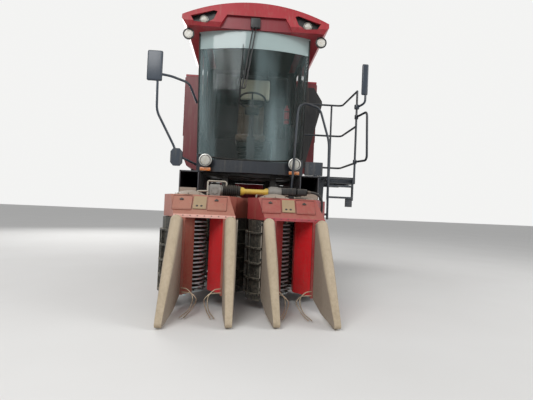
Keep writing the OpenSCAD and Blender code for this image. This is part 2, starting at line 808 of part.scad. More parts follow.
// Roof: crowned across, with a front visor
roof_front_y = cab_y - 240;
roof_edge_h = 130;
roof_lamp_x = 690;
module cab_roof() {
    base = glass_top + 10;
    crown = roof_top - base - roof_edge_h;
    r = (roof_w * roof_w / 4 + crown * crown) / (2 * crown);
    color(red) difference() {
        intersection() {
            along_y(roof_front_y, cab_back_y + 60) intersection() {
                polygon([
                    [-roof_w / 2, base + 70], [-roof_w / 2 + 55, base], [roof_w / 2 - 55, base],
                    [roof_w / 2, base + 70], [roof_w / 2, roof_top], [-roof_w / 2, roof_top],
                ]);
                translate([0, roof_top - r]) circle(r = r, $fn = 200);
            }
            along_x(-roof_w, roof_w) polygon([
                [roof_front_y + 40, base], [roof_front_y, base + 50], [roof_front_y + 70, roof_top + 1],
                [cab_back_y + 20, roof_top + 1], [cab_back_y + 60, base],
            ]);
        }
        along_y(roof_front_y - 10, roof_front_y + 62)
            polygon([[-480, base - 1], [-390, base + 165], [390, base + 165], [480, base - 1]]);
        both_sides() along_y(roof_front_y - 10, roof_front_y + 95) polygon([
            [860, base + 118], [815, base + 42], [640, base + 34], [560, base + 85], [515, base + 205],
            [560, base + 218],
        ]);
    }
    // Lamps in the pockets
    color("white") both_sides()
        rod([roof_lamp_x, roof_front_y + 60, base + 92], [roof_lamp_x, roof_front_y + 96, base + 92], 52);
}

// Black panel below the windscreen
module front_panel() {
    color(black) {
        intersection() {
            translate([0, cab_y + screen_r - screen_sag - 6, 0]) cylinder(h = screen_foot, r = screen_r, $fn = 200);
            difference() {
                along_y(cab_y - screen_sag - 20, cab_y - 0.3) polygon([
                    [-cab_foot_w / 2, floor_z], [cab_foot_w / 2, floor_z], [cab_foot_w / 2, screen_foot],
                    [500, screen_foot - screen_dip], [-500, screen_foot - screen_dip],
                    [-cab_foot_w / 2, screen_foot],
                ]);
                translate([0, cab_y + screen_r - screen_sag - 6, floor_z + 49])
                    cylinder(h = glass_top, r = screen_r - 40, $fn = 200);
            }
        }
    }
}

lamp_x = 590;
lamp_r = 84;
work_lamp_x = 890;
lamp_back_y = cab_y + screen_r - screen_sag - 6 - sqrt(screen_r * screen_r - pow(lamp_x - lamp_r, 2)) - 4;
module lamps() {
    for (s = [-1, 1]) {
        color("white") rod([s * lamp_x, lamp_back_y - 90, floor_z + 140], [s * lamp_x, lamp_back_y, floor_z + 140], lamp_r);
        color("orange") box(s * lamp_x - 70, s * lamp_x + 70, lamp_back_y - 60, lamp_back_y, floor_z + 2, floor_z + 50);
        color(black) difference() {
            box(s * lamp_x - 50, s * lamp_x + 50, lamp_back_y - 5, cab_y - 20, floor_z + 20, floor_z + 180);
            translate([0, cab_y + screen_r - screen_sag - 6, 0]) cylinder(h = 3000, r = screen_r + 0.3, $fn = 200);
        }
        color("white") rod([s * work_lamp_x, cab_y - 130, glass_top - 75],
            [s * work_lamp_x, cab_y - 60, glass_top - 75], 78);
        color(black) rod([s * work_lamp_x, cab_y - 95, glass_top - 5], [s * work_lamp_x, cab_y - 95, glass_top + 10], 12);
    }
}

module wiper() {
    y = cab_y - screen_sag - 22;
    color(black) {
        box(-70, 40, y - 10, y + 14, glass_top - 20, glass_top + 10);
        rod([-40, y, glass_top], [-150, y, 2620], 8);
        rod([0, y, glass_top], [-110, y, 2620], 6);
        rod([-160, y, 3200], [-190, y, 2150], 8);
        rod([-190, y, 2620], [-100, y, 2620], 8);
    }
}

mirror_y = -660;
module mirrors() {
    color(black) {
        back = mirror_y + 25;
        box(mirror_x - mirror_w / 2, mirror_x + mirror_w / 2, mirror_y - 25, back, 2583, 2963);
        tube([[-cab_x(2440) - 15.6, cab_y + 40, 2440], [-850, cab_y - 150, 2650], [-1057, back + 30, 2672],
            [mirror_x + 75, mirror_y, 2671]], tube_r);
        tube([[mirror_x + 40, mirror_y, 2600], [mirror_x + 39, back + 15, 2214], [-1003, cab_y - 176, 1801],
            [-962, cab_y - 168, 1690], [-cab_x(1600) - 12.2, cab_y + 60, 1600]], tube_r);
        // Box with cut corners on the lower stay
        along_y(cab_y - 195, cab_y - 145) polygon([
            [-1041, 1590], [-1005, 1548], [-925, 1548], [-889, 1590], [-889, 1734], [-925, 1776], [-1005, 1776],
            [-1041, 1734],
        ]);
        y = deck_y0 - 75;
        box(mirror_right_x - mirror_right_w / 2, mirror_right_x + mirror_right_w / 2, y - 20, y + 20, 2700, 3140);
        // Clamp of the right mirror's stay on the rails' post
        translate([rail_post_x, deck_y0 + 40, 2526]) difference() {
            cylinder(h = 60, r = 34);
            translate([0, 0, -1]) cylinder(h = 62, r = 18.3);
        }
        tube([[rail_post_x + 16, deck_y0 + 19, 2556], [mirror_right_x + 15, y, 2590], [mirror_right_x + 15, y, 2702]],
            tube_r);
    }
}

// Air ducts: a hood round each unit's neck, a run below the cab's edge, and a riser behind the cab
duct_x0 = neck_x0 - 20;
duct_x1 = neck_x1 + 20;
duct_low = 1190;
duct_high = floor_z - 30;
duct_wall = 6;
hood_y = unit_back_y + 75;
hood_low = neck_low - 20;
riser_y0 = cab_back_y + 20;
riser_y1 = basket_y - 20;
riser_top = 2950;

hood_end = -front_r + 330;
duct_join = 0.2;
fold_gap = 36;

module hood_path(inset, ends) {
    polygon([
        [hood_y - ends, hood_low + inset], [hood_end - 90, hood_low + inset], [hood_end, duct_low + inset],
        [hood_end + ends, duct_low + inset], [hood_end + ends, duct_high - inset], [hood_y - ends, duct_high - inset],
    ]);
}

// The hood and the run below the cab's edge, with the folds of the bellows between them
module duct_run(x0, x1) {
    difference() {
        along_x(x0, x1) hood_path(0, 0);
        along_x(x0 + duct_wall, x1 - duct_wall) hood_path(duct_wall, 1);
    }
    difference() {
        union() {
            box(x0, x1, hood_end + duct_join, riser_y1, duct_low, duct_high);
            for (i = [0 : 4]) {
                y = hood_end + 20 + i * fold_gap;
                color(tan_paint) box(x0 - 8, x1 + 8, y, y + 16, duct_low - 8, duct_high);
            }
        }
        box(x0 + duct_wall, x1 - duct_wall, hood_end - 1, riser_y1 - duct_wall, duct_low + duct_wall,
            duct_high - duct_wall);
        box(x0 + duct_wall, x1 - duct_wall, riser_y0 + duct_wall, riser_y1 - duct_wall, duct_high - 20, duct_high + 1);
    }
}

module duct_left() {
    color(black) {
        duct_run(-duct_x1, -duct_x0);
        difference() {
            box(-duct_x1, -duct_x0 + 60, riser_y0, riser_y1, duct_high + duct_join, riser_top);
            box(-duct_x1 + duct_wall, -duct_x0 + 60 - duct_wall, riser_y0 + duct_wall, riser_y1 - duct_wall,
                duct_high - 1, riser_top - duct_wall);
            box(-duct_x1 + 30, -duct_x0 + 30, riser_y0 + 30, riser_y1 + 1, riser_top - 300, riser_top - 30);
        }
    }
}

module riser_right(inset, low) {
    polygon([
        [duct_x0 + inset, low], [duct_x1 - inset, low], [duct_x1 - inset, duct_high + 60], [1000 - inset, 1920],
        [1245 - inset, 2900], [1240 - inset, 2960 - inset], [1090 - inset, 3190 - inset], [duct_x0 + inset, 3190 - inset],
    ]);
}

module duct_right() {
    color(black) {
        duct_run(duct_x0, duct_x1);
        difference() {
            along_y(riser_y0, riser_y1) riser_right(0, duct_high + duct_join);
            along_y(riser_y0 + duct_wall, riser_y1 - duct_wall) riser_right(duct_wall, duct_high - 1);
            box(duct_x0 + 30, 1060, riser_y0 + 30, riser_y1 + 1, 2700, 3100);
        }
    }
}

// Platform beside the door
deck_x0 = 790;
deck_x1 = 1510;
deck_y0 = -120;
deck_y1 = 900;
deck_top = floor_z + 30;
ladder_x0 = 1100;
ladder_x1 = 1465;
ladder_y = deck_y0 - 50;
ladder_pin_z = deck_top - 30;
ladder_pin_r = 10;
module platform() {
    color(black) {
        box(deck_x0, deck_x1, deck_y0, deck_y1, deck_top - 8, deck_top);
        for (y = [deck_y0, deck_y1 - 60]) {
            box(deck_x1 - 600, deck_x1, y, y + 60, deck_top - 88, deck_top - 8);
            box(cab_foot_w / 2 - 60, deck_x1 - 600, y, y + 60, duct_high, floor_z);
        }
        box(deck_x1 - 60, deck_x1, deck_y0 + 60, deck_y1 - 60, deck_top - 88, deck_top - 8);
        box(deck_x1 - 600, deck_x1 - 560, deck_y0 + 60, deck_y1 - 60, deck_top - 48, deck_top - 8);
        // Lugs and pin of the ladder's hinge, and a gusset beside it
        for (x = [ladder_x0 - 20, ladder_x1 + 5]) {
            box(x, x + 15, ladder_y - 25, deck_y0, ladder_pin_z - 25, deck_top - 1);
        }
        rod([ladder_x0 - 20, ladder_y, ladder_pin_z], [ladder_x1 + 20, ladder_y, ladder_pin_z], ladder_pin_r);
        box(757, 1000, deck_y0 - 180, deck_y0 - 112, deck_top - 8, deck_top + 172);
        box(890, 930, deck_y0 - 180, deck_y0 + 10, deck_top - 38, deck_top - 7);
        translate([0, deck_y0, 0]) along_y(-8, 0)
            polygon([[970, deck_top - 30], [1060, deck_top - 30], [1050, 1180], [1000, 1180]]);
    }
}

module guard_rails() {
    color(black) {
        x = rail_post_x;
        y0 = deck_y0 + 40;
        y1 = deck_y1 - 100;
        top = deck_top + 1255;
        rod([x, y0, deck_top], [x, y0, top + 10], 18);
        for (z = [deck_top + 215, deck_top + 745, top]) tube([[x, y0, z], [x, y1, z + 10], [900, y1, z + 10]], tube_r);
        rod([1330, y1, deck_top], [1330, y1, top], tube_r);
        tube([[x, y0, 2410], [x + 60, y0 - 260, 2425], [x + 62, y0 - 300, 2380], [x + 80, y0 - 300, 1800],
            [x + 76, y0 - 260, 1758], [x, y0, 1762]], tube_r);
        // Clamps on the post
        for (z = [2410, 1762]) translate([x, y0, z - 30]) cylinder(h = 60, r = 27);
        // Grab rail ahead of the cab's right corner, on two flat bars and a stay to the shield
        y2 = cab_y - 225;
        tube([[556, y2, 1300], [598, y2, 2350], [626, y2, 2420], [700, y2, 2452], [862, y2, 2404], [905, y2, 2350],
            [1030, y2, 1956], [1044, y2, 930]], tube_r);
        box(556, 572, y2, cab_y + 40, floor_z - 16, floor_z - 0.3);
        box(1028, 1044, y2, deck_y0 - 8, deck_top - 50, deck_top - 30);
        box(duct_x1 + 8, 1044, y2 - 8, y2 + 8, 980, 1010);
    }
}

module ladder() {
    color(black) difference() {
        union() {
            for (x = [ladder_x0, ladder_x1 - 15]) box(x, x + 15, ladder_y - 35, ladder_y + 35, 1200, ladder_pin_z + 20);
            for (z = [1225, 1385]) box(ladder_x0 + 15, ladder_x1 - 15, ladder_y - 60, ladder_y + 30, z, z + 25);
            box(ladder_x1 - 100, ladder_x1 - 15, ladder_y - 40, ladder_y + 20, 1110, 1226);
        }
        translate([0, ladder_y, ladder_pin_z]) rotate([0, 90, 0])
            cylinder(h = 3000, r = ladder_pin_r + pin_fit);
    }
}

// Basket with a rounded belly, screens in its walls and an open mouth under the lid
belly = 250;
module basket_outline(inset) {
    polygon([
        [-basket_half + inset, basket_z + belly], [-basket_half + belly * 0.3 + inset, basket_z + belly * 0.3],
        [-basket_half + belly - inset * 0.3, basket_z + inset], [basket_half - belly + inset * 0.3, basket_z + inset],
        [basket_half - belly * 0.3 - inset, basket_z + belly * 0.3], [basket_half - inset, basket_z + belly],
        [basket_half - inset, basket_top + 1], [-basket_half + inset, basket_top + 1],
    ]);
}

window_low = basket_z + 700;
window_high = basket_top - 120;
side_window = (basket_len - 440) / 3;
end_windows = [-940, 60];
end_window_w = 880;
function side_window_y(i) = basket_y + 120 + i * (basket_len - 200) / 3;

// Corners of the basket's section on the right, from the floor's edge up to the top
corners = [
    [basket_half - belly, basket_z], [basket_half - belly * 0.3, basket_z + belly * 0.3],
    [basket_half, basket_z + belly], [basket_half, basket_top],
];

// One bent panel between two corners, between the end walls
module side_panel(a, b) {
    d = (b - a) / norm(b - a);
    n = [-d[1], d[0]] * basket_wall;
    p = a + d * (bolt_gap + 0.1);
    q = b - d * 0.1;
    along_y(basket_y + basket_wall + bolt_gap, basket_back_y - basket_wall - bolt_gap)
        polygon([p, q, q + n - d * 16, p + n + d * 16]);
}

module basket_tub() {
    color(red) {
        // End walls with a window on each side of the middle
        for (y = [basket_y, basket_back_y - basket_wall]) difference() {
            along_y(y, y + basket_wall) polygon(concat(corners, [for (i = [3 : -1 : 0]) [-corners[i][0], corners[i][1]]]));
            for (x = end_windows) box(x, x + end_window_w, y - 1, y + basket_wall + 1, window_low, window_high);
        }
        both_sides() {
            side_panel(corners[0], corners[1]);
            side_panel(corners[1], corners[2]);
            difference() {
                box(basket_half - basket_wall, basket_half, basket_y + basket_wall + bolt_gap,
                    basket_back_y - basket_wall - bolt_gap, basket_z + belly + bolt_gap, basket_top);
                for (i = [0 : 2]) box(0, 2000, side_window_y(i), side_window_y(i) + side_window, window_low, window_high);
            }
        }
        box(-basket_half + belly, basket_half - belly, basket_y + basket_wall + bolt_gap,
            basket_back_y - basket_wall - bolt_gap, basket_z, basket_z + basket_wall);
    }
}

// Skids, hinge lugs, the lid hinge's ears and the tip cylinders' ears
module basket_fittings() {
    color(black) {
        // Skids that rest above the frame's cross beams
        both_sides() box(700, 780, basket_y, basket_back_y, beam_top + 5, basket_z - bolt_gap);
        // Ears and pins of the lid's hinge
        for (y = hinge_ys) {
            for (e = [-34, 18]) {
                box(basket_half + bolt_gap, basket_half + 28, y + e, y + e + 16, basket_top - 34, basket_top + 2);
            }
            rod([basket_half + 16, y - 34, lid_hinge_z], [basket_half + 16, y + 34, lid_hinge_z], cab_pin_r);
        }
        // Hinge lugs
        for (y = hinge_ys) difference() {
            union() {
                translate([hinge_x, y - 9, hinge_z]) rotate([-90, 0, 0]) cylinder(h = 18, r = 35);
                box(hinge_x - 35, hinge_x + 35, y - 9, y + 9, hinge_z, basket_z + 90);
            }
            translate([hinge_x, y - 10, hinge_z]) rotate([-90, 0, 0]) cylinder(h = 20, r = hinge_pin_r + pin_fit);
            along_y(y - 10, y + 10) basket_outline(-bolt_gap);
        }
        // Ears on both sides of the tip cylinders' eyes, with the pins' heads
        for (y = tip_ys, e = [-1, 1]) {
            box(tip_eye[0] - 35, tip_eye[0] + 35, y + e * 32 - 6, y + e * 32 + 6, tip_eye[1] - 35, basket_z - bolt_gap);
            rod([tip_eye[0], y + e * 37, tip_eye[1]], [tip_eye[0], y + e * 46, tip_eye[1]], 24);
        }
    }
}

// A slotted sheet behind a window: thickness t along one side, slots cut upright
slot_gap = 84;
module slotted(w, t, cut_y) {
    h = window_high - window_low - 0.6;
    n = floor((w - 40) / slot_gap);
    difference() {
        cube([cut_y ? w : t, cut_y ? t : w, h]);
        for (i = [0 : n - 1]) {
            a = (w - n * slot_gap) / 2 + i * slot_gap + 14;
            translate([cut_y ? a : -1, cut_y ? -1 : a, 40]) cube([cut_y ? 56 : t + 2, cut_y ? t + 2 : 56, h - 80]);
        }
    }
}

module basket_screens() {
    color("silver") {
        for (x = [-basket_half + 11, basket_half - 19], i = [0 : 2]) {
            translate([x, side_window_y(i) + 0.3, window_low + 0.3]) slotted(side_window - 0.6, 8, false);
        }
        for (y = [basket_y + 11, basket_back_y - 19], x = end_windows) {
            translate([x + 0.3, y, window_low + 0.3]) slotted(end_window_w - 0.6, 8, true);
        }
    }
}

lid_hinge_z = basket_top - 8;
module basket_lid() {
    color(black) for (y = hinge_ys) difference() {
        union() {
            rod([basket_half + 16, y - 14, lid_hinge_z], [basket_half + 16, y + 14, lid_hinge_z], 11);
            box(basket_half + 8, basket_half + 24, y - 14, y + 14, lid_hinge_z, basket_top + 34);
            box(basket_half - 1, basket_half + 24, y - 14, y + 14, basket_top + 14, basket_top + 34);
        }
        rod([basket_half + 16, y - 15, lid_hinge_z], [basket_half + 16, y + 15, lid_hinge_z], cab_pin_r + pin_fit);
    }
    color(red) difference() {
        box(-basket_half, basket_half, basket_y, basket_back_y, basket_top + 4, basket_top + 34);
        for (i = [0 : 2], k = [0 : 11]) {
            box(-940 + k * 160, -940 + k * 160 + 100, basket_y + 100 + i * 700, basket_y + 700 + i * 700,
                basket_top, basket_top + 40);
        }
    }
}

// Tip cylinders below the basket, one near each end
hinge_x = -side_beam_x;
hinge_z = basket_z - 30;
hinge_ys = [basket_y + 350, basket_y + basket_len / 2, basket_back_y - 350];
hinge_pin_r = 15;
tip_foot = [-60, 700];
tip_eye = [-300, basket_z - 80];
tip_ys = [basket_y + 190, basket_back_y - 280];
module tip_barrels() {
    color(black) for (y = tip_ys) {
        a = [tip_foot[0], y, tip_foot[1]];
        b = [tip_eye[0], y, tip_eye[1]];
        d = (b - a) / norm(b - a);
        difference() {
            union() {
                translate(a - [0, 48, 0]) rotate([-90, 0, 0]) cylinder(h = 96, r = 42);
                rod(a + d * 30, a + d * 862, 45);
            }
            rod(a + d * 80, a + d * 900, 25.1);
            translate(a - [0, 49, 0]) rotate([-90, 0, 0]) cylinder(h = 98, r = 20 + pin_fit);
        }
    }
}

module tip_rods() {
    color(chrome) for (y = tip_ys) {
        a = [tip_foot[0], y, tip_foot[1]];
        b = [tip_eye[0], y, tip_eye[1]];
        d = (b - a) / norm(b - a);
        rod(a + d * 92, b - d * 24, 25);
        translate(b - [0, 20, 0]) rotate([-90, 0, 0]) cylinder(h = 40, r = 32);
        translate(b - [0, 24, 0]) rotate([-90, 0, 0]) cylinder(h = 48, r = 14);
    }
}

seat_y = cab_back_y - 140;
module seat() {
    color("dimgray") {
        box(-200, 200, seat_y - 480, seat_y - 90, floor_z + 50, floor_z + 560);
        box(-260, 260, seat_y - 560, seat_y - 70, floor_z + 560, floor_z + 700);
        box(-240, 240, seat_y - 110, seat_y, floor_z + 690, floor_z + 1290);
    }
}

module steering_column() {
    color(black) {
        box(-110, 110, 0, 160, floor_z + 50.3, floor_z + 62);
        box(-60, 60, 20, 140, floor_z + 60, floor_z + 560);
        rod([0, 80, floor_z + 540], [0, 180, floor_z + 1130], 34);
        translate([0, 180, floor_z + 1130]) rotate([-20, 0, 0]) {
            rotate_extrude() translate([195, 0]) circle(r = 14);
            rod([-195, 0, 0], [195, 0, 0], 10);
            rod([0, -195, 0], [0, 0, 0], 10);
        }
    }
}

module console() {
    color(black) {
        x = cab_foot_w / 2 - 160;
        y = cab_back_y - 170;
        box(x - 230, x, y - 650, y, floor_z + 50, floor_z + 600);
        for (k = [0, 1]) {
            translate([x - 170 + 80 * k, y - 560, floor_z + 590]) cylinder(h = 200 + 20 * k, r = 11);
            translate([x - 170 + 80 * k, y - 560, floor_z + 750 + 20 * k]) cylinder(h = 50, r = 20);
        }
    }
}

placed() chassis_frame();
placed() upper_frame();
placed() front_axle();
placed() rear_axle();
placed() front_shields();
placed() fuel_tank();
placed() engine();
placed() engine_cowl();
placed() rear_grille();
placed() exhaust();
placed() cab_frame();
placed() cab_roof();
placed() cab_glass();
placed() seat();
placed() steering_column();
placed() console();
placed() front_panel();
placed() lamps();
placed() wiper();
placed() mirrors();
placed() duct_left();
placed() duct_right();
placed() platform();
placed() guard_rails();
placed() ladder();
placed() cab_door();
placed() basket_tub();
placed() basket_fittings();
placed() basket_screens();
placed() basket_lid();
placed() tip_barrels();
placed() tip_rods();
placed() lift_frame();
placed() cabinet_at(-1);  // cabinet_left
placed() cabinet_at(1);  // cabinet_right
placed() stalk_lifters();
placed() grid_bars();
placed() pressure_panels();
placed() row_wires();
placed() drive_line();
placed() rear_shells();
placed() suction_door_at(-1);  // suction_door_left
placed() suction_door_at(1);  // suction_door_right
placed() drum_at(-1, false);  // drum_front_left
placed() drum_at(1, false);  // drum_front_right
placed() drum_at(-1, true);  // drum_rear_left
placed() drum_at(1, true);  // drum_rear_right
placed() lift_barrels();
placed() lift_rods();
placed() front_wheel_at(-1) tyre(front_r, front_w, front_rim_r, front_lugs);  // tyre_front_left
placed() front_wheel_at(1) tyre(front_r, front_w, front_rim_r, front_lugs);  // tyre_front_right
placed() front_wheel_at(-1) rim(front_r, front_w, front_rim_r, -1);  // rim_front_left
placed() front_wheel_at(1) rim(front_r, front_w, front_rim_r, 1);  // rim_front_right
placed() rear_wheel_at(-1) tyre(rear_r, rear_w, rear_rim_r, rear_lugs);  // tyre_rear_left
placed() rear_wheel_at(1) tyre(rear_r, rear_w, rear_rim_r, rear_lugs);  // tyre_rear_right
placed() rear_wheel_at(-1) rim(rear_r, rear_w, rear_rim_r, -1);  // rim_rear_left
placed() rear_wheel_at(1) rim(rear_r, rear_w, rear_rim_r, 1);  // rim_rear_right
placed() knuckle(-1);  // knuckle_left
placed() knuckle(1);  // knuckle_right
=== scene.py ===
# Two-row cotton picker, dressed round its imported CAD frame. Metres, +Z up, the picking units face -Y.
from math import atan2, copysign, cos, pi, radians, sin, sqrt, tau

import bmesh
import bpy
from mathutils import Matrix, Vector


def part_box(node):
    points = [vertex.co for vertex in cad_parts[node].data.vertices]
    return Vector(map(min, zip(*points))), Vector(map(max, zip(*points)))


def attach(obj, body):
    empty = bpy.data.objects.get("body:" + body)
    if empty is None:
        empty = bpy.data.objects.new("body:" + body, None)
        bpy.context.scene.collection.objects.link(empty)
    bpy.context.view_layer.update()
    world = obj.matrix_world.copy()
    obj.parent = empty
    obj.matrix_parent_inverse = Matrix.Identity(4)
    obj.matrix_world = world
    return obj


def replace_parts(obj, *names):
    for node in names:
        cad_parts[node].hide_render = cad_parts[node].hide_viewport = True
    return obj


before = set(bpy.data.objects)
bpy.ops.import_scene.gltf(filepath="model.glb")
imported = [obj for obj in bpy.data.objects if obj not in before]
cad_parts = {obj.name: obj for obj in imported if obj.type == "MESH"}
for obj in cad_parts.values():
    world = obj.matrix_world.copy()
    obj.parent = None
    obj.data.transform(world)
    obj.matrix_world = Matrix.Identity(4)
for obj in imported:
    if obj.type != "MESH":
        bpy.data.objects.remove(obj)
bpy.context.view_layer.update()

# Where the picker stands in the frame: the middle between its front tyres, its front axle and the
# ground. The frame's origin is the middle of its footprint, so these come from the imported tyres.
left_low, left_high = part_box("tyre_front_left")
right_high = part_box("tyre_front_right")[1]
middle_x = (left_low.x + right_high.x) / 2
axle_y = (left_low.y + left_high.y) / 2


def at(x, y, z):
    """A point given from the cab's middle, the front axle and the ground."""
    return Vector((middle_x + x, axle_y + y, z))


# Camera: a low viewpoint ahead of the row openings, turned a little to the machine's right side,
# with the slight tilt of a camera held by hand.
photo_width = 533
focal_px = 400
camera_data = bpy.data.cameras.new("photo_camera")
camera_data.sensor_width = 36
camera_data.lens = camera_data.sensor_width * focal_px / photo_width
camera_data.clip_start, camera_data.clip_end = 0.05, 200
camera = bpy.data.objects.new("photo_camera", camera_data)
scene = bpy.context.scene
scene.collection.objects.link(camera)
scene.camera = camera
camera_place = at(-0.09, -5.727, 1.037)
camera_yaw, camera_pitch, camera_roll = radians(-3.54), radians(1.25), radians(2.44)
camera.matrix_world = (
    Matrix.Translation(camera_place)
    @ Matrix.Rotation(camera_yaw, 4, "Z")
    @ Matrix.Rotation(pi / 2 + camera_pitch, 4, "X")
    @ Matrix.Rotation(camera_roll, 4, "Z")
)


# Studio: a pale floor and a pale background, lit by one large soft lamp above and ahead, a weaker
# one at each side and an even sky. Metal and glass see the same background as the camera does.
def feed(node, **inputs):
    """Sets or links a node's inputs. An input goes by its label, or by the letter i and its number
    where labels repeat."""
    for key, value in inputs.items():
        numbered = key[0] == "i" and key[1:].isdigit()
        socket = node.inputs[int(key[1:]) if numbered else key.replace("_", " ")]
        if isinstance(value, bpy.types.NodeSocket):
            node.id_data.links.new(value, socket)
        else:
            socket.default_value = value


def add(tree, kind, output=0, props=None, **inputs):
    """Adds a node with its properties and inputs, and gives one of its outputs."""
    node = tree.nodes.new("ShaderNode" + kind)
    for key, value in (props or {}).items():
        setattr(node, key, value)
    feed(node, **inputs)
    return node.outputs[output]


def maths(kind, a, *rest, clamp=False):
    """Works values out in one node, in the first one's tree."""
    parts = {"i%d" % i: part for i, part in enumerate((a, *rest))}
    return add(a.id_data, "Math", 0, {"operation": kind, "use_clamp": clamp}, **parts)


def mixed(factor, a, b):
    """A colour that goes from a to b with a factor."""
    return add(factor.id_data, "Mix", 2, {"data_type": "RGBA"}, Factor=factor, i6=a, i7=b)


def noise(place, scale, detail, rough=0.5):
    return add(place.id_data, "TexNoise", Vector=place, Scale=scale, Detail=detail, Roughness=rough)


def opened(material):
    """A material's shader, and the place on the piece that wears it."""
    return material.node_tree.nodes["Principled BSDF"], add(material.node_tree, "TexCoord", 3)


def new_material(name):
    """A material with its shader and its place on the piece."""
    made = bpy.data.materials.new(name)
    made.use_nodes = True
    return made, *opened(made)


scene.view_settings.view_transform = "Standard"
world = bpy.data.worlds.new("studio")
scene.world = world
world.use_nodes = True
sky = world.node_tree
sky_plain = sky.nodes["Background"]
feed(sky_plain, Color=(0.93, 0.94, 0.96, 1), Strength=0.5)
sky_seen = add(sky, "Background", Color=(0.9, 0.9, 0.89, 1), Strength=1.0)
ray = sky.nodes.new("ShaderNodeLightPath").outputs
straight = maths("MAXIMUM", ray["Is Camera Ray"], ray["Is Transmission Ray"])
sky_mix = add(sky, "MixShader", Fac=maths("MAXIMUM", straight, ray["Is Glossy Ray"]),
              i1=sky_plain.outputs[0], i2=sky_seen)
feed(sky.nodes["World Output"], Surface=sky_mix)

# Name, place, point aimed at, width in metres and watts
for name, place, aim, size, watts in (
    ("lamp_front", at(-3.5, -8, 7.5), at(0, -0.5, 1.6), 5, 520),
    ("lamp_right", at(7, -3, 5), at(0, 0, 1.6), 4, 230),
    ("lamp_back", at(-5, 8, 6), at(0, 1.5, 1.6), 5, 420),
):
    light = bpy.data.lights.new(name, "AREA")
    light.shape, light.size, light.energy = "SQUARE", size, watts
    lamp = bpy.data.objects.new(name, light)
    lamp.location = place
    lamp.rotation_euler = (aim - place).to_track_quat("-Z", "Y").to_euler()
    scene.collection.objects.link(lamp)

floor_material, shader, place = new_material("studio_floor")
shade = mixed(noise(place, 0.8, 3.0), (0.66, 0.65, 0.63, 1), (0.72, 0.715, 0.7, 1))
feed(shader, Base_Color=shade, Roughness=0.9)
floor_half = 60
floor_form = bmesh.new()
bmesh.ops.create_grid(floor_form, x_segments=1, y_segments=1, size=floor_half)
floor_mesh = bpy.data.meshes.new("studio_floor")
floor_form.to_mesh(floor_mesh)
floor_form.free()
floor_mesh.materials.append(floor_material)
floor = bpy.data.objects.new("studio_floor", floor_mesh)
scene.collection.objects.link(floor)


# Paint of the whole machine: a coat that fades in broad patches, dust that lies on what faces up
# and gathers low down, fine grime, stone chips and bare metal along the edges.
def rgba(hexed):
    """A colour as it is seen, written as six hex digits, made linear."""
    parts = [int(hexed[i : i + 2], 16) / 255 for i in (0, 2, 4)]
    return (*[c / 12.92 if c <= 0.04045 else ((c + 0.055) / 1.055) ** 2.4 for c in parts], 1)


def ranged(value, low, high, to_low=0.0, to_high=1.0):
    """Follows a value from one number to another, and stays level outside them."""
    return add(value.id_data, "MapRange", Value=value, From_Min=low, From_Max=high, To_Min=to_low,
               To_Max=to_high)


def sums(kind, *parts):
    """A sum, product or the like of two or more values, kept between 0 and 1 at each step."""
    total = parts[0]
    for part in parts[1:]:
        total = maths(kind, total, part, clamp=True)
    return total


def relief(height, strength, depth, **more):
    """A bump of the surface that follows a height."""
    return add(height.id_data, "Bump", Strength=strength, Distance=depth, Height=height, **more)


def stretched(place, scale, **more):
    return add(place.id_data, "Mapping", Vector=place, Scale=scale, **more)


def apart(place):
    """The x, y and z of a place or a direction."""
    parts = place.id_data.nodes.new("ShaderNodeSeparateXYZ")
    feed(parts, Vector=place)
    return parts.outputs


def paint(name, coat, faded, dust, fade=0.6, dusty=0.6, low_dust=0.4, chips=0.5, under="4a4440", gloss=0.42,
          metal=0.0):
    """Paint in one coat and its faded shade, with its dust and the metal under its chips."""
    made, shader, place = new_material(name)
    tree = place.id_data
    broad = noise(place, 1.9, 5.0, 0.6)
    fine = noise(place, 38.0, 6.0, 0.65)
    grit = noise(place, 210.0, 3.0, 0.6)
    coat_now = mixed(ranged(broad, 0.35, 0.68, 0, fade), rgba(coat), rgba(faded))
    streaks = noise(stretched(place, (22, 22, 1.6)), 1.0, 4.0, 0.6)
    coat_now = mixed(ranged(streaks, 0.52, 0.75, 0, 0.3), coat_now, rgba(dust))
    facing = apart(add(tree, "NewGeometry", 1))[2]
    lying = sums("MULTIPLY", ranged(facing, 0.15, 0.95), ranged(fine, 0.3, 0.62, 0.45, 1.0), dusty)
    low = sums("MULTIPLY", ranged(apart(place)[2], 1.3, 0.1), ranged(fine, 0.4, 0.66), low_dust)
    dust_now = sums("MAXIMUM", lying, low)
    coat_now = mixed(dust_now, coat_now, rgba(dust))
    edge = add(tree, "Bevel", 0, {"samples": 3}, Radius=0.006)
    true_face = add(tree, "NewGeometry", 1)
    edge_dot = add(tree, "VectorMath", 1, {"operation": "DOT_PRODUCT"}, i0=edge, i1=true_face)
    worn = sums("MULTIPLY", ranged(edge_dot, 0.97, 0.8), ranged(fine, 0.46, 0.58))
    chip = ranged(noise(place, 75.0, 2.0), 0.7, 0.73)
    worn = sums("MULTIPLY", sums("MAXIMUM", worn, chip), chips)
    rough = sums("ADD", ranged(dust_now, 0, 1, gloss, 0.92), ranged(grit, 0.3, 0.8, -0.06, 0.1))
    feed(shader, Base_Color=mixed(worn, coat_now, rgba(under)), Roughness=rough, Metallic=metal,
         Normal=relief(sums("SUBTRACT", grit, worn), 0.25, 0.0012))
    return made


def dress(material, *names):
    """Gives CAD nodes one material."""
    for name in names:
        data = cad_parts[name].data
        data.materials.clear()
        data.materials.append(material)


def four(name):
    """The names of the CAD nodes that stand at both sides, in front and at the rear."""
    return ["%s_%s_%s" % (name, end, side) for end in ("front", "rear") for side in ("left", "right")]


def held(shader, label):
    """What is linked to one of a shader's inputs."""
    return shader.inputs[label].links[0].from_socket


